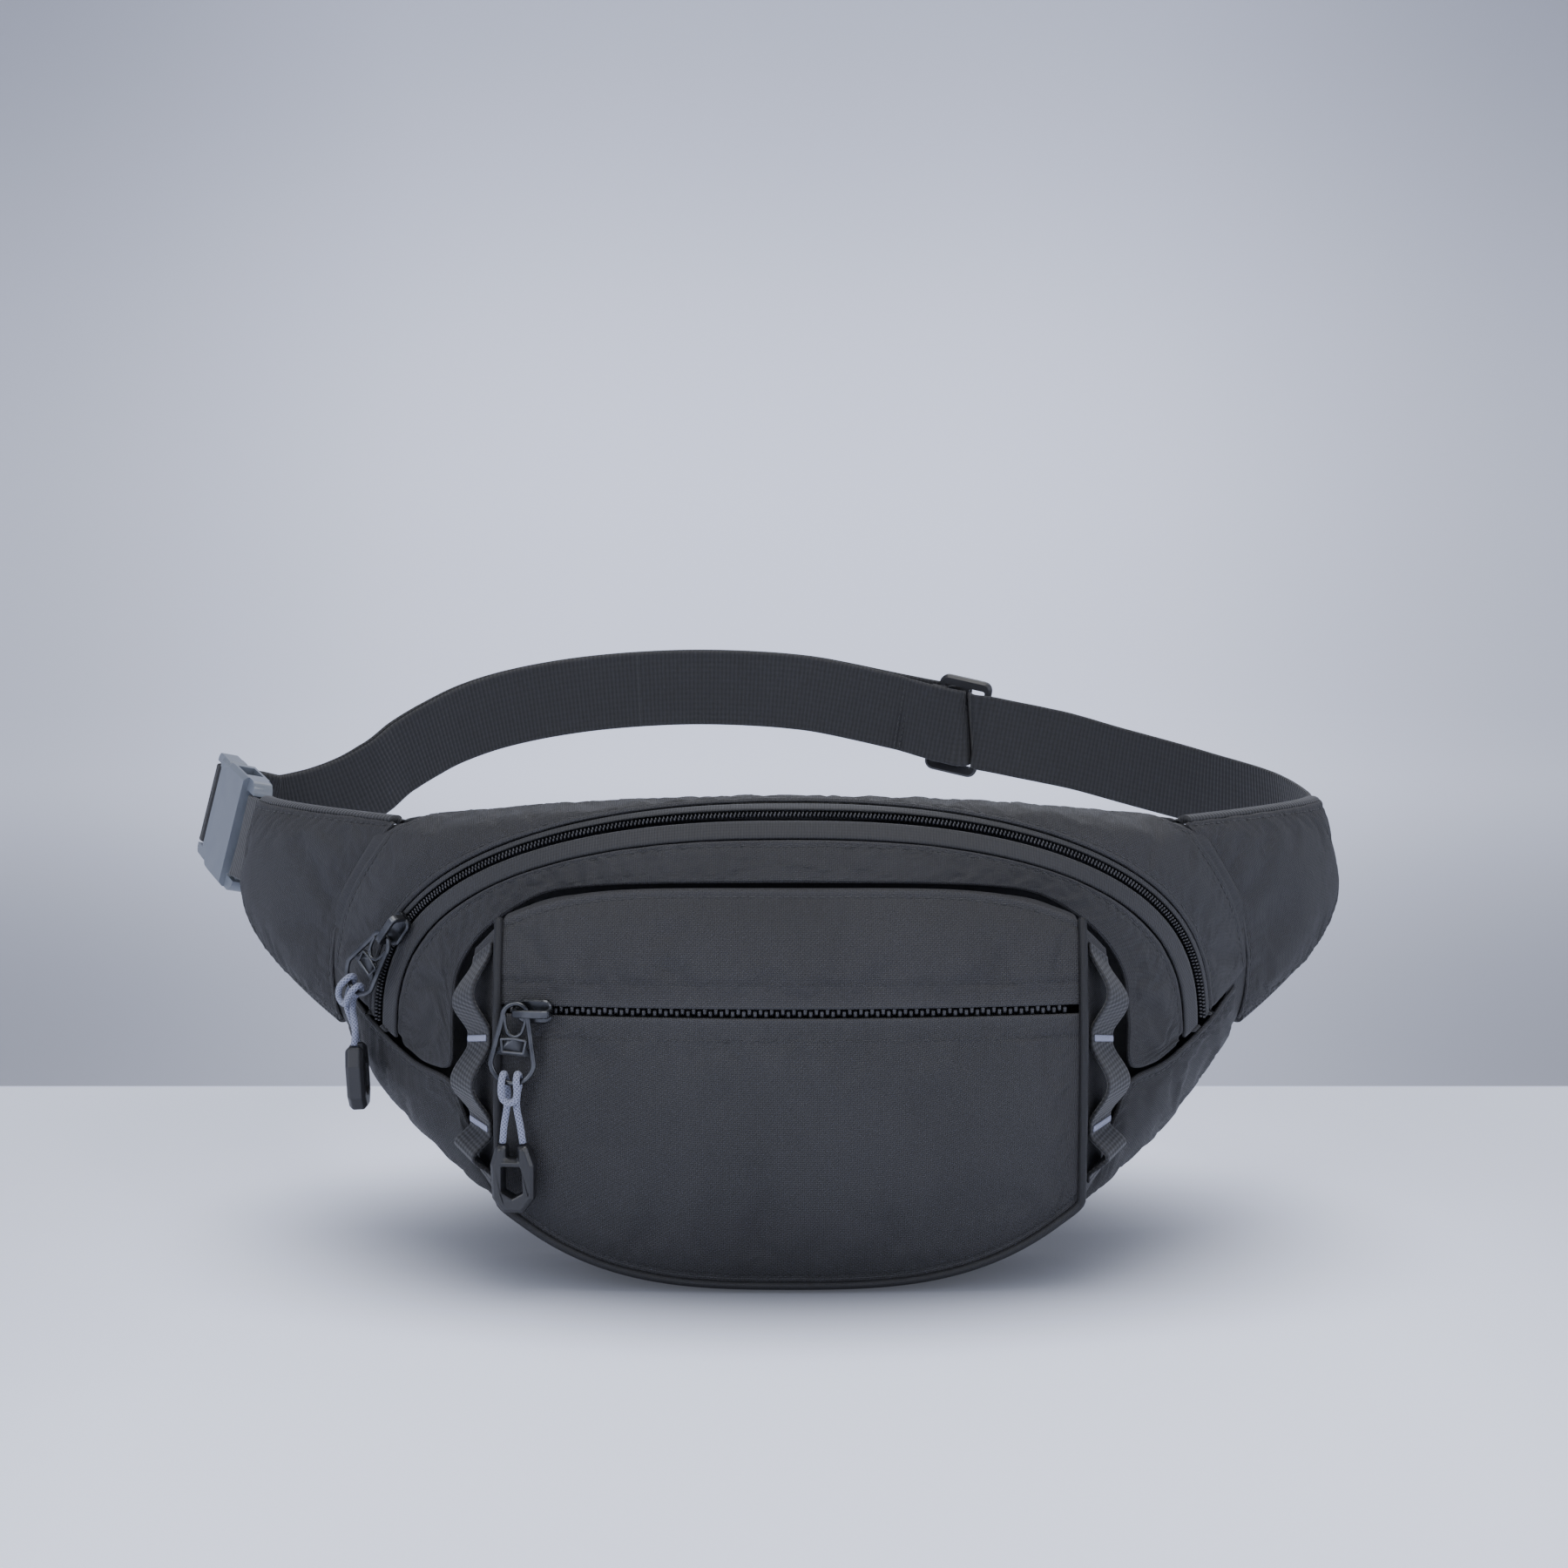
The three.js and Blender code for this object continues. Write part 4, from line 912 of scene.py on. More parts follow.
_, upper_rows = panel(
    "pocket_upper_facing", 150, 40, pocket_place(POCKET_HALF, level(SLIT_TOP), pocket_top, 0, CLOTH),
    WALL, nylon, slack=0.5, pucker=0.3, sewing=(("low", 7.4), ("high", 2.6)),
    settle=(1.0, 0.02, 1.0), seed=14.0, roll=0.7,
)
_, lower_rows = panel(
    "pocket_lower_panel", 150, 84, pocket_place(POCKET_HALF, pocket_foot, level(SLIT_LOW), 0, CLOTH),
    WALL, nylon, slack=0.9, pucker=0.3, sewing=(("high", 6.8), ("low", 2.4)),
    settle=(1.5, 0.02, 1.6), seed=15.0, roll=0.7,
)
pocket_stitches = [m for row in upper_rows + lower_rows for m in stitch_places(*row)]
stamp("pocket_stitching", stitch_unit, pocket_stitches, seam_thread)

# ---------------------------------------------------------------- pocket zip
# Two ribbed tapes behind the folds, and a row of moulded teeth that lock in turn, one
# from the upper tape and one from the lower.

ZIP_HALF = POCKET_HALF - 3
for word, low, high in (("upper", 91.6, 99.0), ("lower", 81.0, 88.4)):
    panel(
        "pocket_zip_tape_" + word, 150, 10,
        pocket_place(POCKET_HALF - 0.3, level(low), level(high), 1.75, 0.8),
        0.8, zip_tape, roll=0.2, crowd=(0, 0),
    )
tooth_shape = bmesh.new()
bmesh.ops.create_cube(tooth_shape, size=1.0)
bmesh.ops.bevel(
    tooth_shape, geom=tooth_shape.edges[:], offset=0.22, segments=1, profile=0.5,
    affect="EDGES", material=-1,
)
tooth_unit = small_shape("tooth_unit", tooth_shape)
TOOTH_PITCH = 1.7
teeth = []
for k in range(int(2 * ZIP_HALF / TOOTH_PITCH)):
    x = -ZIP_HALF + (k + 0.5) * TOOTH_PITCH
    height = 90.35 if k % 2 else 89.65
    at = pocket_point(x, height, 1.7)
    ahead = pocket_point(x + 1, height, 1.7) - at
    out = pocket_point(x, height, 0.0) - at
    teeth.append(standing(at, ahead, out, (0.00118, 0.0021, 0.0015)))
stamp("pocket_zip_teeth", tooth_unit, teeth, coil_plastic, replaced=["pocket_zip_teeth"])

# ---------------------------------------------------------------- pocket sides
# The sides of the pocket run back to the pouch. Each carries a ladder of narrow webbing,
# caught down by two bar tacks of close satin stitches, that stands off in loops.

WEBBING = 30.0
WEBBING_THICK = 1.4
LADDER_WEBBING = 18.0
LADDER_STOPS = (111, 81, 51, 33)
LADDER_STANDS_OFF = 6.0
SIDE_DEEP = 27
TACK_THREADS = 42


def wall_point(side, z, across, stand):
    edge = pocket_point(POCKET_HALF + SEAM + 0 * z, z, 1.5)
    foot = on_front(104 - 3 * ((z - 72) / 44) ** 2, mix(34, 104, (z - 28) / 88), 0)
    line = foot - edge
    out = np.stack([-line[..., 1], line[..., 0], 0 * line[..., 0]], axis=-1)
    out /= np.linalg.norm(out, axis=-1, keepdims=True)
    reach = 1 - 3 / np.linalg.norm(line, axis=-1)
    at = edge + line * (across * reach)[..., None] - out * np.asarray(stand)[..., None]
    return at * np.array([side, 1, 1])


def ladder_stand(z):
    stand = np.full_like(z, GAP)
    for high, low in zip(LADDER_STOPS, LADDER_STOPS[1:]):
        t = np.clip((high - z - 2) / (high - low - 4), 0, 1)
        bow = GAP + LADDER_STANDS_OFF * np.sin(np.pi * t) ** 1.5
        stand = np.where((z <= high) & (z >= low), bow, stand)
    return stand


webbing = ribbed_cloth(
    "webbing", (0.0048, 0.0048, 0.0055, 1), (0.028, 0.028, 0.031, 1), 0.0016, 0.72, 0.0003,
    along=False, cross=0.0021,
)
tack_thread = thread_material("tack_thread", (0.16, 0.17, 0.24, 1), (0.42, 0.44, 0.56, 1))
share = LADDER_WEBBING / SIDE_DEEP
for word, side in (("left", -1), ("right", 1)):
    panel(
        "pocket_side_wall_" + word, 24, 80,
        lambda u, v, w: wall_point(side, mix(28, 116, v), u, -CLOTH * w), WALL, nylon,
        slack=0.5, pucker=0.2, seed=17.0 + side,
    )
    panel(
        "ladder_webbing_" + word, 16, 200,
        lambda u, v, w: wall_point(
            side, mix(33, 111, v), 0.5 + share * (u - 0.5),
            ladder_stand(mix(33, 111, v)) + 1.2 * (1 - w),
        ),
        1.15, webbing, roll=0.35, crowd=(0.5, 0), edges=("left", "right"),
    )
    for height, name in ((81, "upper"), (51, "lower")):
        threads = []
        for k in range(TACK_THREADS):
            across = np.array(0.5 + 0.85 * share * ((k + 0.5) / TACK_THREADS - 0.5))
            ends = [
                wall_point(side, np.array(height + 0.9 * step), across, np.array(GAP + 1.45))
                for step in (-1.0, 1.0)
            ]
            out = wall_point(side, np.array(float(height)), across, np.array(GAP + 3.0))
            middle = (ends[0] + ends[1]) / 2
            slant = 0.16 if k % 2 else -0.16
            run = Vector(ends[1] - ends[0]) + Vector((0.0, slant, 0.0))
            threads.append(standing(middle, run, Vector(out - middle), (0.00112, 0.00021, 0.00026)))
        stamp(
            "bar_tack_" + word + "_" + name, stitch_unit, threads, tack_thread,
            replaced=["bar_tack_" + word + "_" + name],
        )

# ---------------------------------------------------------------- piping and pocket floor
# A cord in a folded strip of cloth is sewn into the seam round the pocket's face. The
# floor of the pocket is one more cut piece.


def carry_outline(bm, line, ups, profile, ring=False):
    """Carries a closed outline along a line, into a bmesh. The outline is (side, up) pairs
    in millimetres, ups the way up at each point of the line, and ring joins its ends."""
    line = np.asarray(line, float)
    if ring:
        ahead = np.vstack([line[-2:-1], line, line[1:2]])
        run = (ahead[2:] - ahead[:-2]) / 2
    else:
        run = np.gradient(line, axis=0)
    run /= np.linalg.norm(run, axis=1, keepdims=True)
    up = np.asarray(ups, float) * np.ones_like(line)
    up = up - run * np.sum(up * run, axis=1, keepdims=True)
    up /= np.linalg.norm(up, axis=1, keepdims=True)
    side = np.cross(run, up)
    outline = np.array(list(profile) + [profile[0]], float)
    round_it = run_of(outline)
    length = run_of(line)
    columns, rows = len(outline) - 1, len(line) - 1
    cut = bm.loops.layers.uv.get("cut") or bm.loops.layers.uv.new("cut")
    made = bmesh.ops.create_grid(bm, x_segments=columns, y_segments=rows, size=0.5)["verts"]
    spot = {}
    for vert in made:
        i = round((vert.co.x + 0.5) * columns)
        j = round((vert.co.y + 0.5) * rows)
        spot[vert] = (i, j)
        vert.co = (line[j] + side[j] * outline[i, 0] + up[j] * outline[i, 1]) * MM
    faces = {f for vert in made for f in vert.link_faces}
    for f in faces:
        for loop in f.loops:
            i, j = spot[loop.vert]
            loop[cut].uv = (round_it[i] * MM, length[j] * MM)
    bmesh.ops.remove_doubles(bm, verts=made, dist=1e-6)
    ends = [e for f in faces if f.is_valid for e in f.edges if len(e.link_faces) == 1]
    if ends:
        bmesh.ops.holes_fill(bm, edges=list(set(ends)), sides=0)


RING_SIDES = 14


def sweep_along(name, line, ups, profile, finish, replaced=None, body="pouch"):
    """One piece whose section is the same all along a line."""
    bm = bmesh.new()
    carry_outline(bm, line, ups, profile)
    bmesh.ops.recalc_face_normals(bm, faces=bm.faces)
    return make_object(name, bm, finish, body, replaced or [])


def ring_outline(radius):
    turns = [2 * math.pi * k / RING_SIDES for k in range(RING_SIDES)]
    return [(radius * math.cos(t), radius * math.sin(t)) for t in turns]


PIPING_OFF = 0.75
PIPING_RADIUS = 1.3


def pipe_point(x, z):
    return pocket_point(x, max(z, 1.5), -0.2) + np.array([0, -0.6, 0])


corner_height = float(pocket_foot(POCKET_HALF))
side_heights = np.linspace(117, corner_height + 2, 8)
piping_line = [pipe_point(-POCKET_HALF - PIPING_OFF, z) for z in side_heights]
for x in np.linspace(-POCKET_HALF, POCKET_HALF, 25):
    slope = float(pocket_foot(x + 0.5) - pocket_foot(x - 0.5))
    off = PIPING_OFF / math.hypot(1, slope)
    piping_line.append(pipe_point(x + slope * off, float(pocket_foot(x)) - off))
piping_line += [pipe_point(POCKET_HALF + PIPING_OFF, z) for z in reversed(side_heights)]
piping_line = through(piping_line, 320)
piping_cloth = nylon_cloth(
    "piping_cloth", (0.004, 0.004, 0.005, 1), (0.018, 0.018, 0.02, 1), 0.0005, 0.6, 0.00006, 0.03
)
sweep_along(
    "pocket_piping", piping_line, (0, -1, 0), ring_outline(PIPING_RADIUS), piping_cloth,
    replaced=["pocket_piping"],
)


def floor_place(u, v, w):
    x = mix(-80, 80, u)
    front = pocket_point(x, pocket_foot(x) + 1.2, CLOTH + 1)
    back = on_front(x, 6.5 + 18 * np.abs(x / 88) ** 3.5, -GAP)
    return mix(front, back, 0.97 * v[..., None]) + pts(0, 0, 1.2 * w)


panel("pocket_floor", 80, 10, floor_place, 1.1, nylon, roll=0.3)


def top_gusset_place(u, v, w):
    x = mix(-89.3, 89.3, u)
    z = pocket_top(x) - 0.6
    front = pocket_point(x, z, 0.5)
    back = on_front(x, z + 1.0, 0.6)
    return mix(front, back, v[..., None]) + pts(0, 0, -1.2 * w)


panel(
    "pocket_top_gusset", 90, 12, top_gusset_place, 1.1, nylon, replaced=[], roll=0.3,
)

# ---------------------------------------------------------------- wings
# A padded wing at each end spreads the belt's pull over the hip: nylon outside, foam in
# the middle, spacer mesh inside, and a bound edge all round.


def wing_point(side, u, v, across):
    height = mix(71.5, 141, v)
    root_x = wing_seam(height) + GAP
    root = pts(root_x, curl_back(root_x) - 0.5, height)
    tip = pts(mix(191, 184, v), 88 + 0 * v, mix(110, 141, v))
    elbow = pts(mix(187, 178.5, v), mix(71, 67, v), mix(root[..., 2], tip[..., 2], 0.55))
    t = u[..., None]
    at = (1 - t) ** 2 * root + 2 * t * (1 - t) * elbow + t**2 * tip
    run = 2 * (1 - t) * (elbow - root) + 2 * t * (tip - elbow)
    run /= np.linalg.norm(run, axis=-1, keepdims=True)
    turned = smooth(u, 0, 0.5)
    out = pts(run[..., 1] * turned, mix(-1, -run[..., 0], turned), 0)
    out /= np.linalg.norm(out, axis=-1, keepdims=True)
    return (at + out * np.asarray(across)[..., None]) * np.array([side, 1, 1])


def wing_half(u, v):
    return 2.2 + mix(7, 2, u**0.8) * (1 - np.abs(2 * v - 1) ** 3) ** (1 / 3)


def root_tape(side):
    """A strip inside the seam between wing and pouch, all the way round it."""
    def place(u, v, w):
        angle = 360 * u
        height = np.clip(pouch_point(147.0, angle, 1.0)[..., 2], 71, 141)
        x = np.minimum(wing_seam(height) + mix(-8.0, 3.2, v), 154.4)
        at = pouch_point(x, angle, 1.9 + 0.7 * v + 0.8 * w)
        return at * np.array([side, 1, 1])

    return place


for word, side in (("left", -1), ("right", 1)):
    panel(
        "wing_seam_tape_" + word, 120, 10, root_tape(side), 0.8, nylon,
        replaced=[], roll=0.2, crowd=(0, 0), edges=("low", "high"),
    )
    cover, cover_rows = panel(
        "wing_cover_" + word, 90, 56,
        lambda u, v, w: wing_point(side, u, v, wing_half(u, v) - w), 0.9, nylon,
        slack=0.6, pucker=0.35, sewing=(("low", 3.4), ("high", 3.4), ("left", 2.2)),
        settle=(3.0, 0.03, 2.0), seed=20.0 + side, roll=0.8,
    )
    wing_foam, _ = panel(
        "wing_foam_" + word, 40, 26,
        lambda u, v, w: wing_point(
            side, mix(0.02, 0.98, u), mix(0.02, 0.98, v),
            mix(1, -1, w) * (wing_half(u, v) - 1 - GAP),
        ),
        2.0, foam, roll=0.5, seed=22.0,
    )
    inner, inner_rows = panel(
        "wing_air_mesh_" + word, 90, 56,
        lambda u, v, w: wing_point(side, u, v, w - wing_half(u, v)), 0.9, air_mesh,
        slack=0.6, pucker=0.3, sewing=(("low", 3.4), ("high", 3.4)), settle=(3.0, 0.02, 2.0),
        seed=25.0 + side, roll=0.8,
    )
    around = [(t, 1.0) for t in np.linspace(0.0, 0.94, 24)]
    around += [(0.985, 0.985 - 0.97 * t) for t in np.linspace(0.0, 1.0, 12)]
    around += [(t, 0.0) for t in np.linspace(0.94, 0.0, 24)]
    middle_line = [wing_point(side, np.array(u), np.array(v), np.array(0.0)) for u, v in around]
    wing_out = [
        wing_point(side, np.array(u), np.array(v), np.array(1.0)) - p
        for (u, v), p in zip(around, middle_line)
    ]
    bound = through(middle_line, 260)
    bound_out = evenly(np.array(wing_out), 260)
    oval = [(1.5 * math.cos(t), 2.75 * math.sin(t)) for t in np.linspace(0, 2 * math.pi, 18)[:-1]]
    sweep_along("wing_binding_" + word, bound, bound_out, oval, webbing)
    wing_stitches = [m for row in cover_rows + inner_rows for m in stitch_places(*row)]
    stamp("wing_stitching_" + word, stitch_unit, wing_stitches, seam_thread)

# ---------------------------------------------------------------- belt
# One length of thirty-millimetre webbing runs from the right wing through the adjuster,
# round to the buckle's bar and back to the adjuster, where its end is sewn round a bar.
# Only a short second piece joins the left wing to the buckle's housing.


def vec(x, y, z):
    return np.array([x, y, z], float)


def unit(a):
    return a / np.linalg.norm(a)


def lean_at(p):
    return unit(vec(-p[0] * 0.0013, -(p[1] - 90) * 0.0008, 1))


GLIDE = vec(67, 205.5, 157.2)
GLIDE_RUN = unit(vec(-70, 16.5, 15))
GLIDE_UP = lean_at(GLIDE)
GLIDE_UP = unit(GLIDE_UP - GLIDE_RUN * GLIDE_UP.dot(GLIDE_RUN))
GLIDE_OUT = np.cross(GLIDE_RUN, GLIDE_UP)
BUCKLE = vec(-194, 104, 125.5)
BUCKLE_RUN = unit(vec(-0.42, 0.89, 0.15))
BUCKLE_UP = vec(0.25, 0, 1)
BUCKLE_UP = unit(BUCKLE_UP - BUCKLE_RUN * BUCKLE_UP.dot(BUCKLE_RUN))
BUCKLE_OUT = np.cross(BUCKLE_RUN, BUCKLE_UP)
BAR_TO_BAR = 48
STRAP_BAR = BUCKLE + BUCKLE_RUN * BAR_TO_BAR
LAYER = 1.2
LOOP_RADIUS = 2.75


def on_glide(along, off=0.0):
    return GLIDE + GLIDE_RUN * along + GLIDE_OUT * off


def hairpin(bar, outwards, upright, length):
    """Points of a loop of webbing round a bar: in along one side and out along the other."""
    aside = unit(np.cross(outwards, upright))
    pairs = [(length, LAYER), (length * 0.6, mix(LAYER, LOOP_RADIUS, 0.6))]
    for k in range(7):
        turn = math.pi * k / 6
        pairs.append((-LOOP_RADIUS * math.sin(turn), LOOP_RADIUS * math.cos(turn)))
    pairs += [(length * 0.6, -mix(LAYER, LOOP_RADIUS, 0.6)), (length, -LAYER)]
    return [bar + outwards * along + aside * off for along, off in pairs]


def tip_middle(side):
    return vec(side * 187.5, 88, 125.5)


left_line = through([
    on_glide(22), on_glide(34), on_glide(46), vec(0, 217.5, 170), vec(-43, 218, 171.5),
    vec(-90, 210, 168), vec(-124, 196, 160.5), vec(-147, 180, 149), vec(-163, 168.5, 137),
    vec(-178, 162, 130.5), STRAP_BAR + BUCKLE_OUT * 24, STRAP_BAR + BUCKLE_OUT * 12,
], 700)


def strap_up(p):
    """The way up of the webbing: it leans with the waist, and is square to the buckle."""
    near = float(1 - smooth(np.linalg.norm(p - STRAP_BAR), 12, 40))
    return unit(mix(lean_at(p), BUCKLE_UP, near))


left_run = np.gradient(left_line, axis=0)
left_side = np.array([
    unit(np.cross(run, strap_up(p))) for run, p in zip(left_run, left_line)
])
FROM = 90
picks = list(range(FROM, 690, 34)) + [694]
far_side = [left_line[k] + left_side[k] * LAYER for k in picks]
near_side = [left_line[k] - left_side[k] * LAYER for k in reversed(picks)]
loop = hairpin(STRAP_BAR, BUCKLE_OUT, BUCKLE_UP, 8.0)[::-1]
threading = [
    (-15, -2.6), (-11.8, -3.1), (-9.3, -3.3), (-7, -2.6), (-4.8, 1.5), (-3.2, 4.5), (0, 5.4),
    (6, 4.9), (12, 3.6), (18, 2.7), (26, 1.8),
]
sewn_end = [
    (26, -1.9), (20, -3.0), (15, -4.2), (9, -5.1), (3, -5), (-0.8, -4.3), (-3.1, -1.7),
    (-2.9, 1.6), (0, 3.1), (2.9, 1.7), (5, -1.5), (8, -3.1), (12.5, -3.2),
]
right_points = [
    tip_middle(1) + vec(0.2, 0.8, 0), vec(189.5, 108, 127), vec(182, 138, 131),
    vec(160, 166, 136), vec(128, 187, 143.5), on_glide(-46), on_glide(-34, -0.4),
    on_glide(-24, -1.6),
]
whole = through(
    right_points + [on_glide(*p) for p in threading] + far_side + loop + near_side
    + [on_glide(*p) for p in sewn_end],
    1400,
)
ups = np.array([strap_up(p) for p in whole])
near_glide = np.argmin(np.linalg.norm(whole[:500] - on_glide(-3.6, 3.8), axis=1))
to_bar = int(np.argmin(np.linalg.norm(whole - STRAP_BAR + BUCKLE_OUT * LOOP_RADIUS, axis=1)))
MIDDLE_X = -60.0
first_half = [k for k in range(near_glide + 40, to_bar) if whole[k][0] < MIDDLE_X][0]
second_half = [k for k in range(to_bar, len(whole)) if whole[k][0] > MIDDLE_X][0]


def webbing_outline(width, thick):
    """A flat section with soft edges, a little thicker where the edge is bound in."""
    half, deep = width / 2, thick / 2
    right_side = [
        (deep, half - 1.6), (deep * 1.08, half - 0.9), (deep * 0.8, half - 0.25), (0, half),
    ]
    top = right_side + [(-a, b) for a, b in reversed(right_side[:-1])]
    across = [(-deep, half * f) for f in (0.6, 0.2, -0.2, -0.6)]
    bottom = [(-a, -b) for a, b in top]
    back = [(-a, -b) for a, b in across]
    return top + across + bottom + back


strap_outline = webbing_outline(WEBBING, WEBBING_THICK)


def strap(name, start, stop, replaced, body=None, line=whole, up=ups):
    return sweep_along(
        name, line[start:stop], up[start:stop], strap_outline, webbing,
        replaced=replaced, body=body,
    )


belt_right = strap("belt_right", 0, near_glide + 1, ["belt_right"])
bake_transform(belt_right)
belt_far = strap("belt_far_layer", near_glide, first_half + 1, ["belt_far_layer", "belt_threading"])
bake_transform(belt_far)
belt_near = strap("belt_near_layer", second_half, len(whole), ["belt_near_layer", "belt_sewn_end"])
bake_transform(belt_near)
belt_loop = strap("belt_buckle_loop", first_half, second_half + 1, ["belt_buckle_loop"])
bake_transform(belt_loop)

end_rows = []
for along in (21.0, 23.2):
    line = np.array([on_glide(along, -3.3) + GLIDE_UP * w for w in np.linspace(-14, 14, 30)])
    end_rows += stitch_places(line, np.tile(-GLIDE_OUT, (30, 1)), skip=0.5, wide=0.34)
stamp("sewn_end_stitching", stitch_unit, end_rows, seam_thread, "belt_adjuster")

short_run = BUCKLE - tip_middle(-1)
short_loop = through(
    hairpin(BUCKLE, -unit(short_run), BUCKLE_UP, float(np.linalg.norm(short_run)) - 1.6), 120
)
sweep_along(
    "wing_webbing_left", short_loop, BUCKLE_UP, strap_outline, webbing,
    replaced=["wing_webbing_left"],
)

# ---------------------------------------------------------------- buckle and adjuster
# The side-release buckle and the adjuster are moulded in one piece each, apart from the
# buckle's latch with its two springy arms, which slides into the housing.

buckle_plastic = plastic(
    "buckle_plastic", (0.115, 0.13, 0.155, 1), (0.165, 0.185, 0.215, 1), 0.34, 1800.0, 0.00003
)
black_plastic = plastic(
    "black_plastic", (0.008, 0.008, 0.009, 1), (0.022, 0.022, 0.025, 1), 0.38, 1800.0, 0.00003
)


def soften(node, width):
    """Welds a kept solid and rounds its edges a little."""
    weld = node.modifiers.new("weld", "WELD")
    weld.merge_threshold = 0.00001
    ease = node.modifiers.new("ease", "BEVEL")
    ease.width = width * MM
    ease.segments = 2
    ease.limit_method = "ANGLE"
    ease.angle_limit = math.radians(35)


def finish_node(name, material, width=0.0):
    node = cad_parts[name]
    node.data.materials.clear()
    node.data.materials.append(material)
    if width:
        soften(node, width)


for name in ("buckle_housing", "buckle_latch", "buckle_arm_upper", "buckle_arm_lower"):
    finish_node(name, buckle_plastic, 0.35)
finish_node("glide_frame", black_plastic, 0.3)

# ---------------------------------------------------------------- zip sliders and pullers
# Each zip has a die-cast slider with a bail, and a flat puller ring that hangs from it.
# All four are plated a dark gunmetal.

metal_wiring = Wiring("gunmetal")
brushed = metal_wiring.grain(metal_wiring.place(), 900.0, 2.0)
dulled = metal_wiring.ramp(metal_wiring.grain(metal_wiring.place(), 120.0), 0.3, 0.7)
metal_wiring.look(
    "Base Color", metal_wiring.blend(dulled, (0.045, 0.047, 0.052, 1), (0.10, 0.103, 0.11, 1)),
)
metal_wiring.look("Roughness", metal_wiring.ramp(dulled, 0, 1, 0.24, 0.36))
metal_wiring.shader.inputs["Metallic"].default_value = 0.9
metal_wiring.relief(brushed, 0.00002)
gunmetal = metal_wiring.material
for name in ("pocket_slider", "main_slider"):
    finish_node(name, gunmetal, 0.3)


def turned(x, y, z, at):
    """The matrix of a small part's own frame, in metres."""
    rows = Matrix([Vector(x), Vector(y), Vector(z)]).transposed().to_4x4()
    return Matrix.Translation(Vector(at) * MM) @ rows


def stand_on(at, along, off):
    """A frame on a surface: X along the zip and Z off the face."""
    x = unit(along)
    z = unit(off - x * np.dot(off, x))
    return turned(x, np.cross(z, x), z, at + z * 0.6)


def hang_from(at, down, off):
    """A frame that hangs from a point: -Y down and Z off the face."""
    y = -unit(down)
    z = unit(off - y * np.dot(off, y))
    return turned(np.cross(y, z), y, z, at)


def world_of(matrix, x, y, z):
    return np.array(matrix @ (Vector((x, y, z)) * MM)) / MM


def arc_points(centre, radius, start, stop, count):
    turns = np.radians(np.linspace(start, stop, count))
    return [(centre[0] + radius * np.cos(t), centre[1] + radius * np.sin(t), 0) for t in turns]


PULLER_TOP = 3.4
PULLER_LOW = -22.4
RIM = 1.3
TOP_RADIUS = 4.6
LOW_RADIUS = 7.5
wire = [(0.85 * math.cos(t), 0.78 * math.sin(t)) for t in np.linspace(0, 2 * math.pi, 13)[:-1]]
thin_wire = [(0.62 * a, 0.85 * b) for a, b in wire]


def puller(name, body, matrix, lift):
    """A drop-shaped wire ring, a plate with a cast window, and an inner loop for the pin."""
    top = PULLER_TOP - TOP_RADIUS
    low = PULLER_LOW + LOW_RADIUS
    bm = bmesh.new()
    drop = arc_points((0, top), TOP_RADIUS - 0.65, 186, -6, 15)
    drop += arc_points((0, low), LOW_RADIUS - 0.65, -6, -174, 19)
    drop.append(drop[0])
    carry_outline(bm, evenly(np.array(drop, float), 90), (0, 0, 1), wire, ring=True)
    inner = [(-3.3, -0.9, 0), (-3.1, -3.2, 0), *arc_points((0, -4.7), 2.6, 190, 350, 9)]
    inner += [(3.1, -3.2, 0), (3.3, -0.9, 0)]
    carry_outline(bm, through(inner, 40), (0, 0, 1), thin_wire)
    plate = [(-4.1, -3.6), (-3.0, -4.2), (-2.5, -5.9), (-1.4, -7.2), (0, -7.6), (1.4, -7.2)]
    plate += [(2.5, -5.9), (3.0, -4.2), (4.1, -3.6), (5.8, -12.6), (5.0, -13.1), (-5.0, -13.1)]
    plate += [(-5.8, -12.6)]
    corners = [bm.verts.new((x * MM, y * MM, -0.4 * MM)) for x, y in plate]
    flat = bmesh.ops.contextual_create(bm, geom=corners)["faces"]
    raised = bmesh.ops.extrude_face_region(bm, geom=flat)["geom"]
    lifted = [v for v in raised if isinstance(v, bmesh.types.BMVert)]
    bmesh.ops.translate(bm, verts=lifted, vec=(0, 0, 0.8 * MM))
    window = [(-3.9, -8.4, 0), (-3.3, -12.3, 0), (3.3, -12.3, 0), (3.9, -8.4, 0)]
    window += [(0, -8.0, 0), (-3.9, -8.4, 0)]
    frame_line = evenly(np.array(window, float), 60)
    for face_side in (0.42, -0.42):
        carry_outline(
            bm, frame_line + np.array([0, 0, face_side]), (0, 0, 1),
            [(0.5 * a, 0.42 * b) for a, b in wire], ring=True,
        )
    bmesh.ops.recalc_face_normals(bm, faces=bm.faces)
    hung = matrix @ Matrix.Translation((0, lift * MM, 0))
    bmesh.ops.transform(bm, matrix=hung, verts=bm.verts)
    return make_object(name, bm, gunmetal, body, [name])


pocket_at = pocket_point(-78.0, 90.0, 0.0)
pocket_along = pocket_point(-77.0, 90.0, 0.0) - pocket_at
pocket_off = unit(vec(pocket_along[1], -pocket_along[0], 0))
pocket_frame = stand_on(pocket_at, pocket_along, pocket_off)
pocket_pin = world_of(pocket_frame, -5.1, 0, 4.6)
pocket_hang = hang_from(pocket_pin, vec(-0.07, -0.06, -1), pocket_off)
puller("pocket_puller", "pocket_zip_puller", pocket_hang, 0.0)


def coil_point(t, inset):
    x, z = arch(t, inset)
    return on_front(x, z, 0.2)


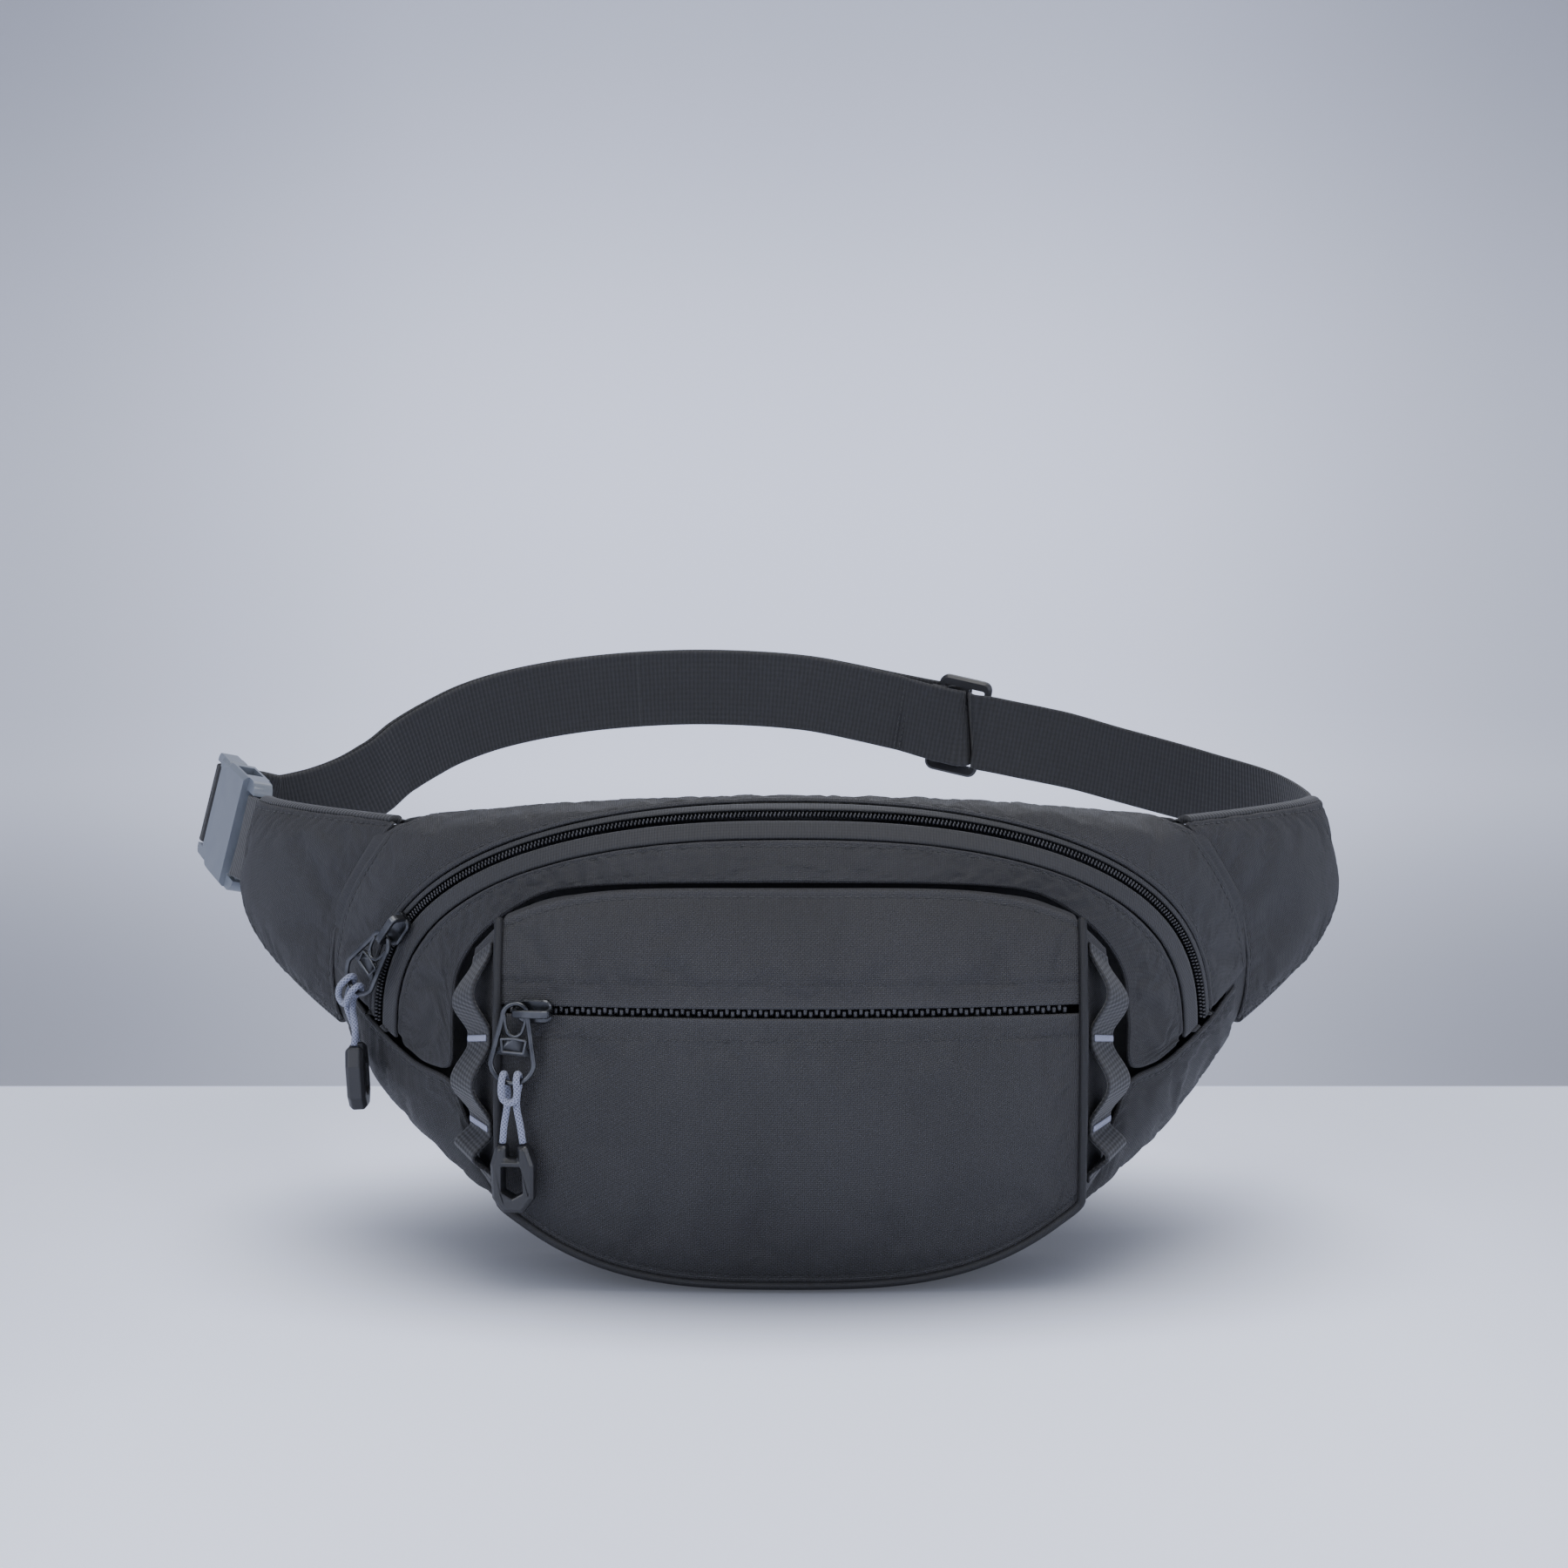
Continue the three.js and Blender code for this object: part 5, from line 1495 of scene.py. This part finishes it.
SLIDER_AT = 0.135
SLIDER_TILT = 0.05
main_along = coil_point(SLIDER_AT + 0.01, COIL_AT) - coil_point(SLIDER_AT - 0.01, COIL_AT)
main_across = coil_point(SLIDER_AT, COIL_AT + 2) - coil_point(SLIDER_AT, COIL_AT - 2)
main_off = unit(np.cross(main_along, main_across))
if main_off[1] > 0:
    main_off = -main_off
main_off = np.array(Matrix.Rotation(SLIDER_TILT, 3, Vector(main_along)) @ Vector(main_off))
main_frame = stand_on(coil_point(SLIDER_AT, COIL_AT), main_along, main_off)
main_pin = world_of(main_frame, -3.1, 0, 4.6)
main_hang = hang_from(main_pin, -main_along, main_off)
puller("main_puller", "main_zip_puller", main_hang, RIM / 2 - PULLER_TOP)

# ---------------------------------------------------------------- pull cords and grips
# A short braided cord is hitched round each puller's rim, and both its ends are moulded
# into a soft six-sided loop to grip. It is held all the way, so it hangs one way only.

braid = Wiring("pull_cord")
round_it, along_it, _ = braid.parts(braid.cut())
one_way = braid.wave(braid.plus(along_it, round_it), 0.0012)
other_way = braid.wave(braid.minus(along_it, round_it), 0.0012)
crossing = braid.math("MAXIMUM", one_way, other_way)
braid.look(
    "Base Color", braid.blend(crossing, (0.07, 0.075, 0.11, 1), (0.25, 0.27, 0.37, 1)),
)
braid.look("Roughness", braid.ramp(crossing, 0, 1, 0.75, 0.6))
braid.shader.inputs["Sheen Weight"].default_value = 0.3
braid.relief(crossing, 0.0003)

GRIP_TOP = -19.0
CORD_RADIUS = 1.08
hitch = [
    (-3.2, GRIP_TOP + 0.4, 0), (-2.5, -13, 0), (-1.5, -7.2, -0.3), (-1.5, -3.6, -1.5),
    (-2.0, -0.5, -2.2), (-2.2, 2.2, -1.4), (-2.2, 2.9, 0.4), (-2.3, 1.0, 2.1),
    (-2.5, -2.2, 2.4), (-1.9, -4.6, 2.3), (0, -5.6, 2.2),
]
hitch = hitch + [(-x, y, z) for x, y, z in reversed(hitch[:-1])]


def hitched_cord(name, body, matrix, lean, twist):
    def turn_point(x, y, z):
        upright = lean * (1 - float(smooth(-y, 2, 11)))
        turn = twist * float(smooth(-y, 6, 17))
        point = Matrix.Rotation(turn, 3, "Y") @ Vector((x, y, z))
        point = Matrix.Rotation(upright, 3, "Z") @ point
        return world_of(matrix, *point)

    line = through([turn_point(*p) for p in hitch], 150)
    return sweep_along(
        name, line, (0.3, -1.0, 0.2), ring_outline(CORD_RADIUS), braid.material,
        replaced=[name], body=body,
    )


pocket_rim = world_of(pocket_hang, 0, PULLER_LOW + RIM / 2, 0)
pocket_cord = hang_from(pocket_rim, vec(0.02, 0, -1), pocket_off)
hitched_cord("pocket_pull_cord", "pocket_zip_pull", pocket_cord, 0, 0)
main_rim = world_of(main_hang, 0, PULLER_LOW + RIM - PULLER_TOP, 0)
main_rim_line = world_of(main_hang, 1, 0, 0) - main_pin
main_lean = math.asin(main_rim_line[2])
main_cord = hang_from(main_rim, vec(0.05, 0, -1), np.cross(main_rim_line, vec(0, 0, 1)))
hitched_cord("main_pull_cord", "main_zip_pull", main_cord, main_lean, -0.87)
for name in ("pocket_pull_grip", "main_pull_grip"):
    finish_node(name, black_plastic, 0.5)
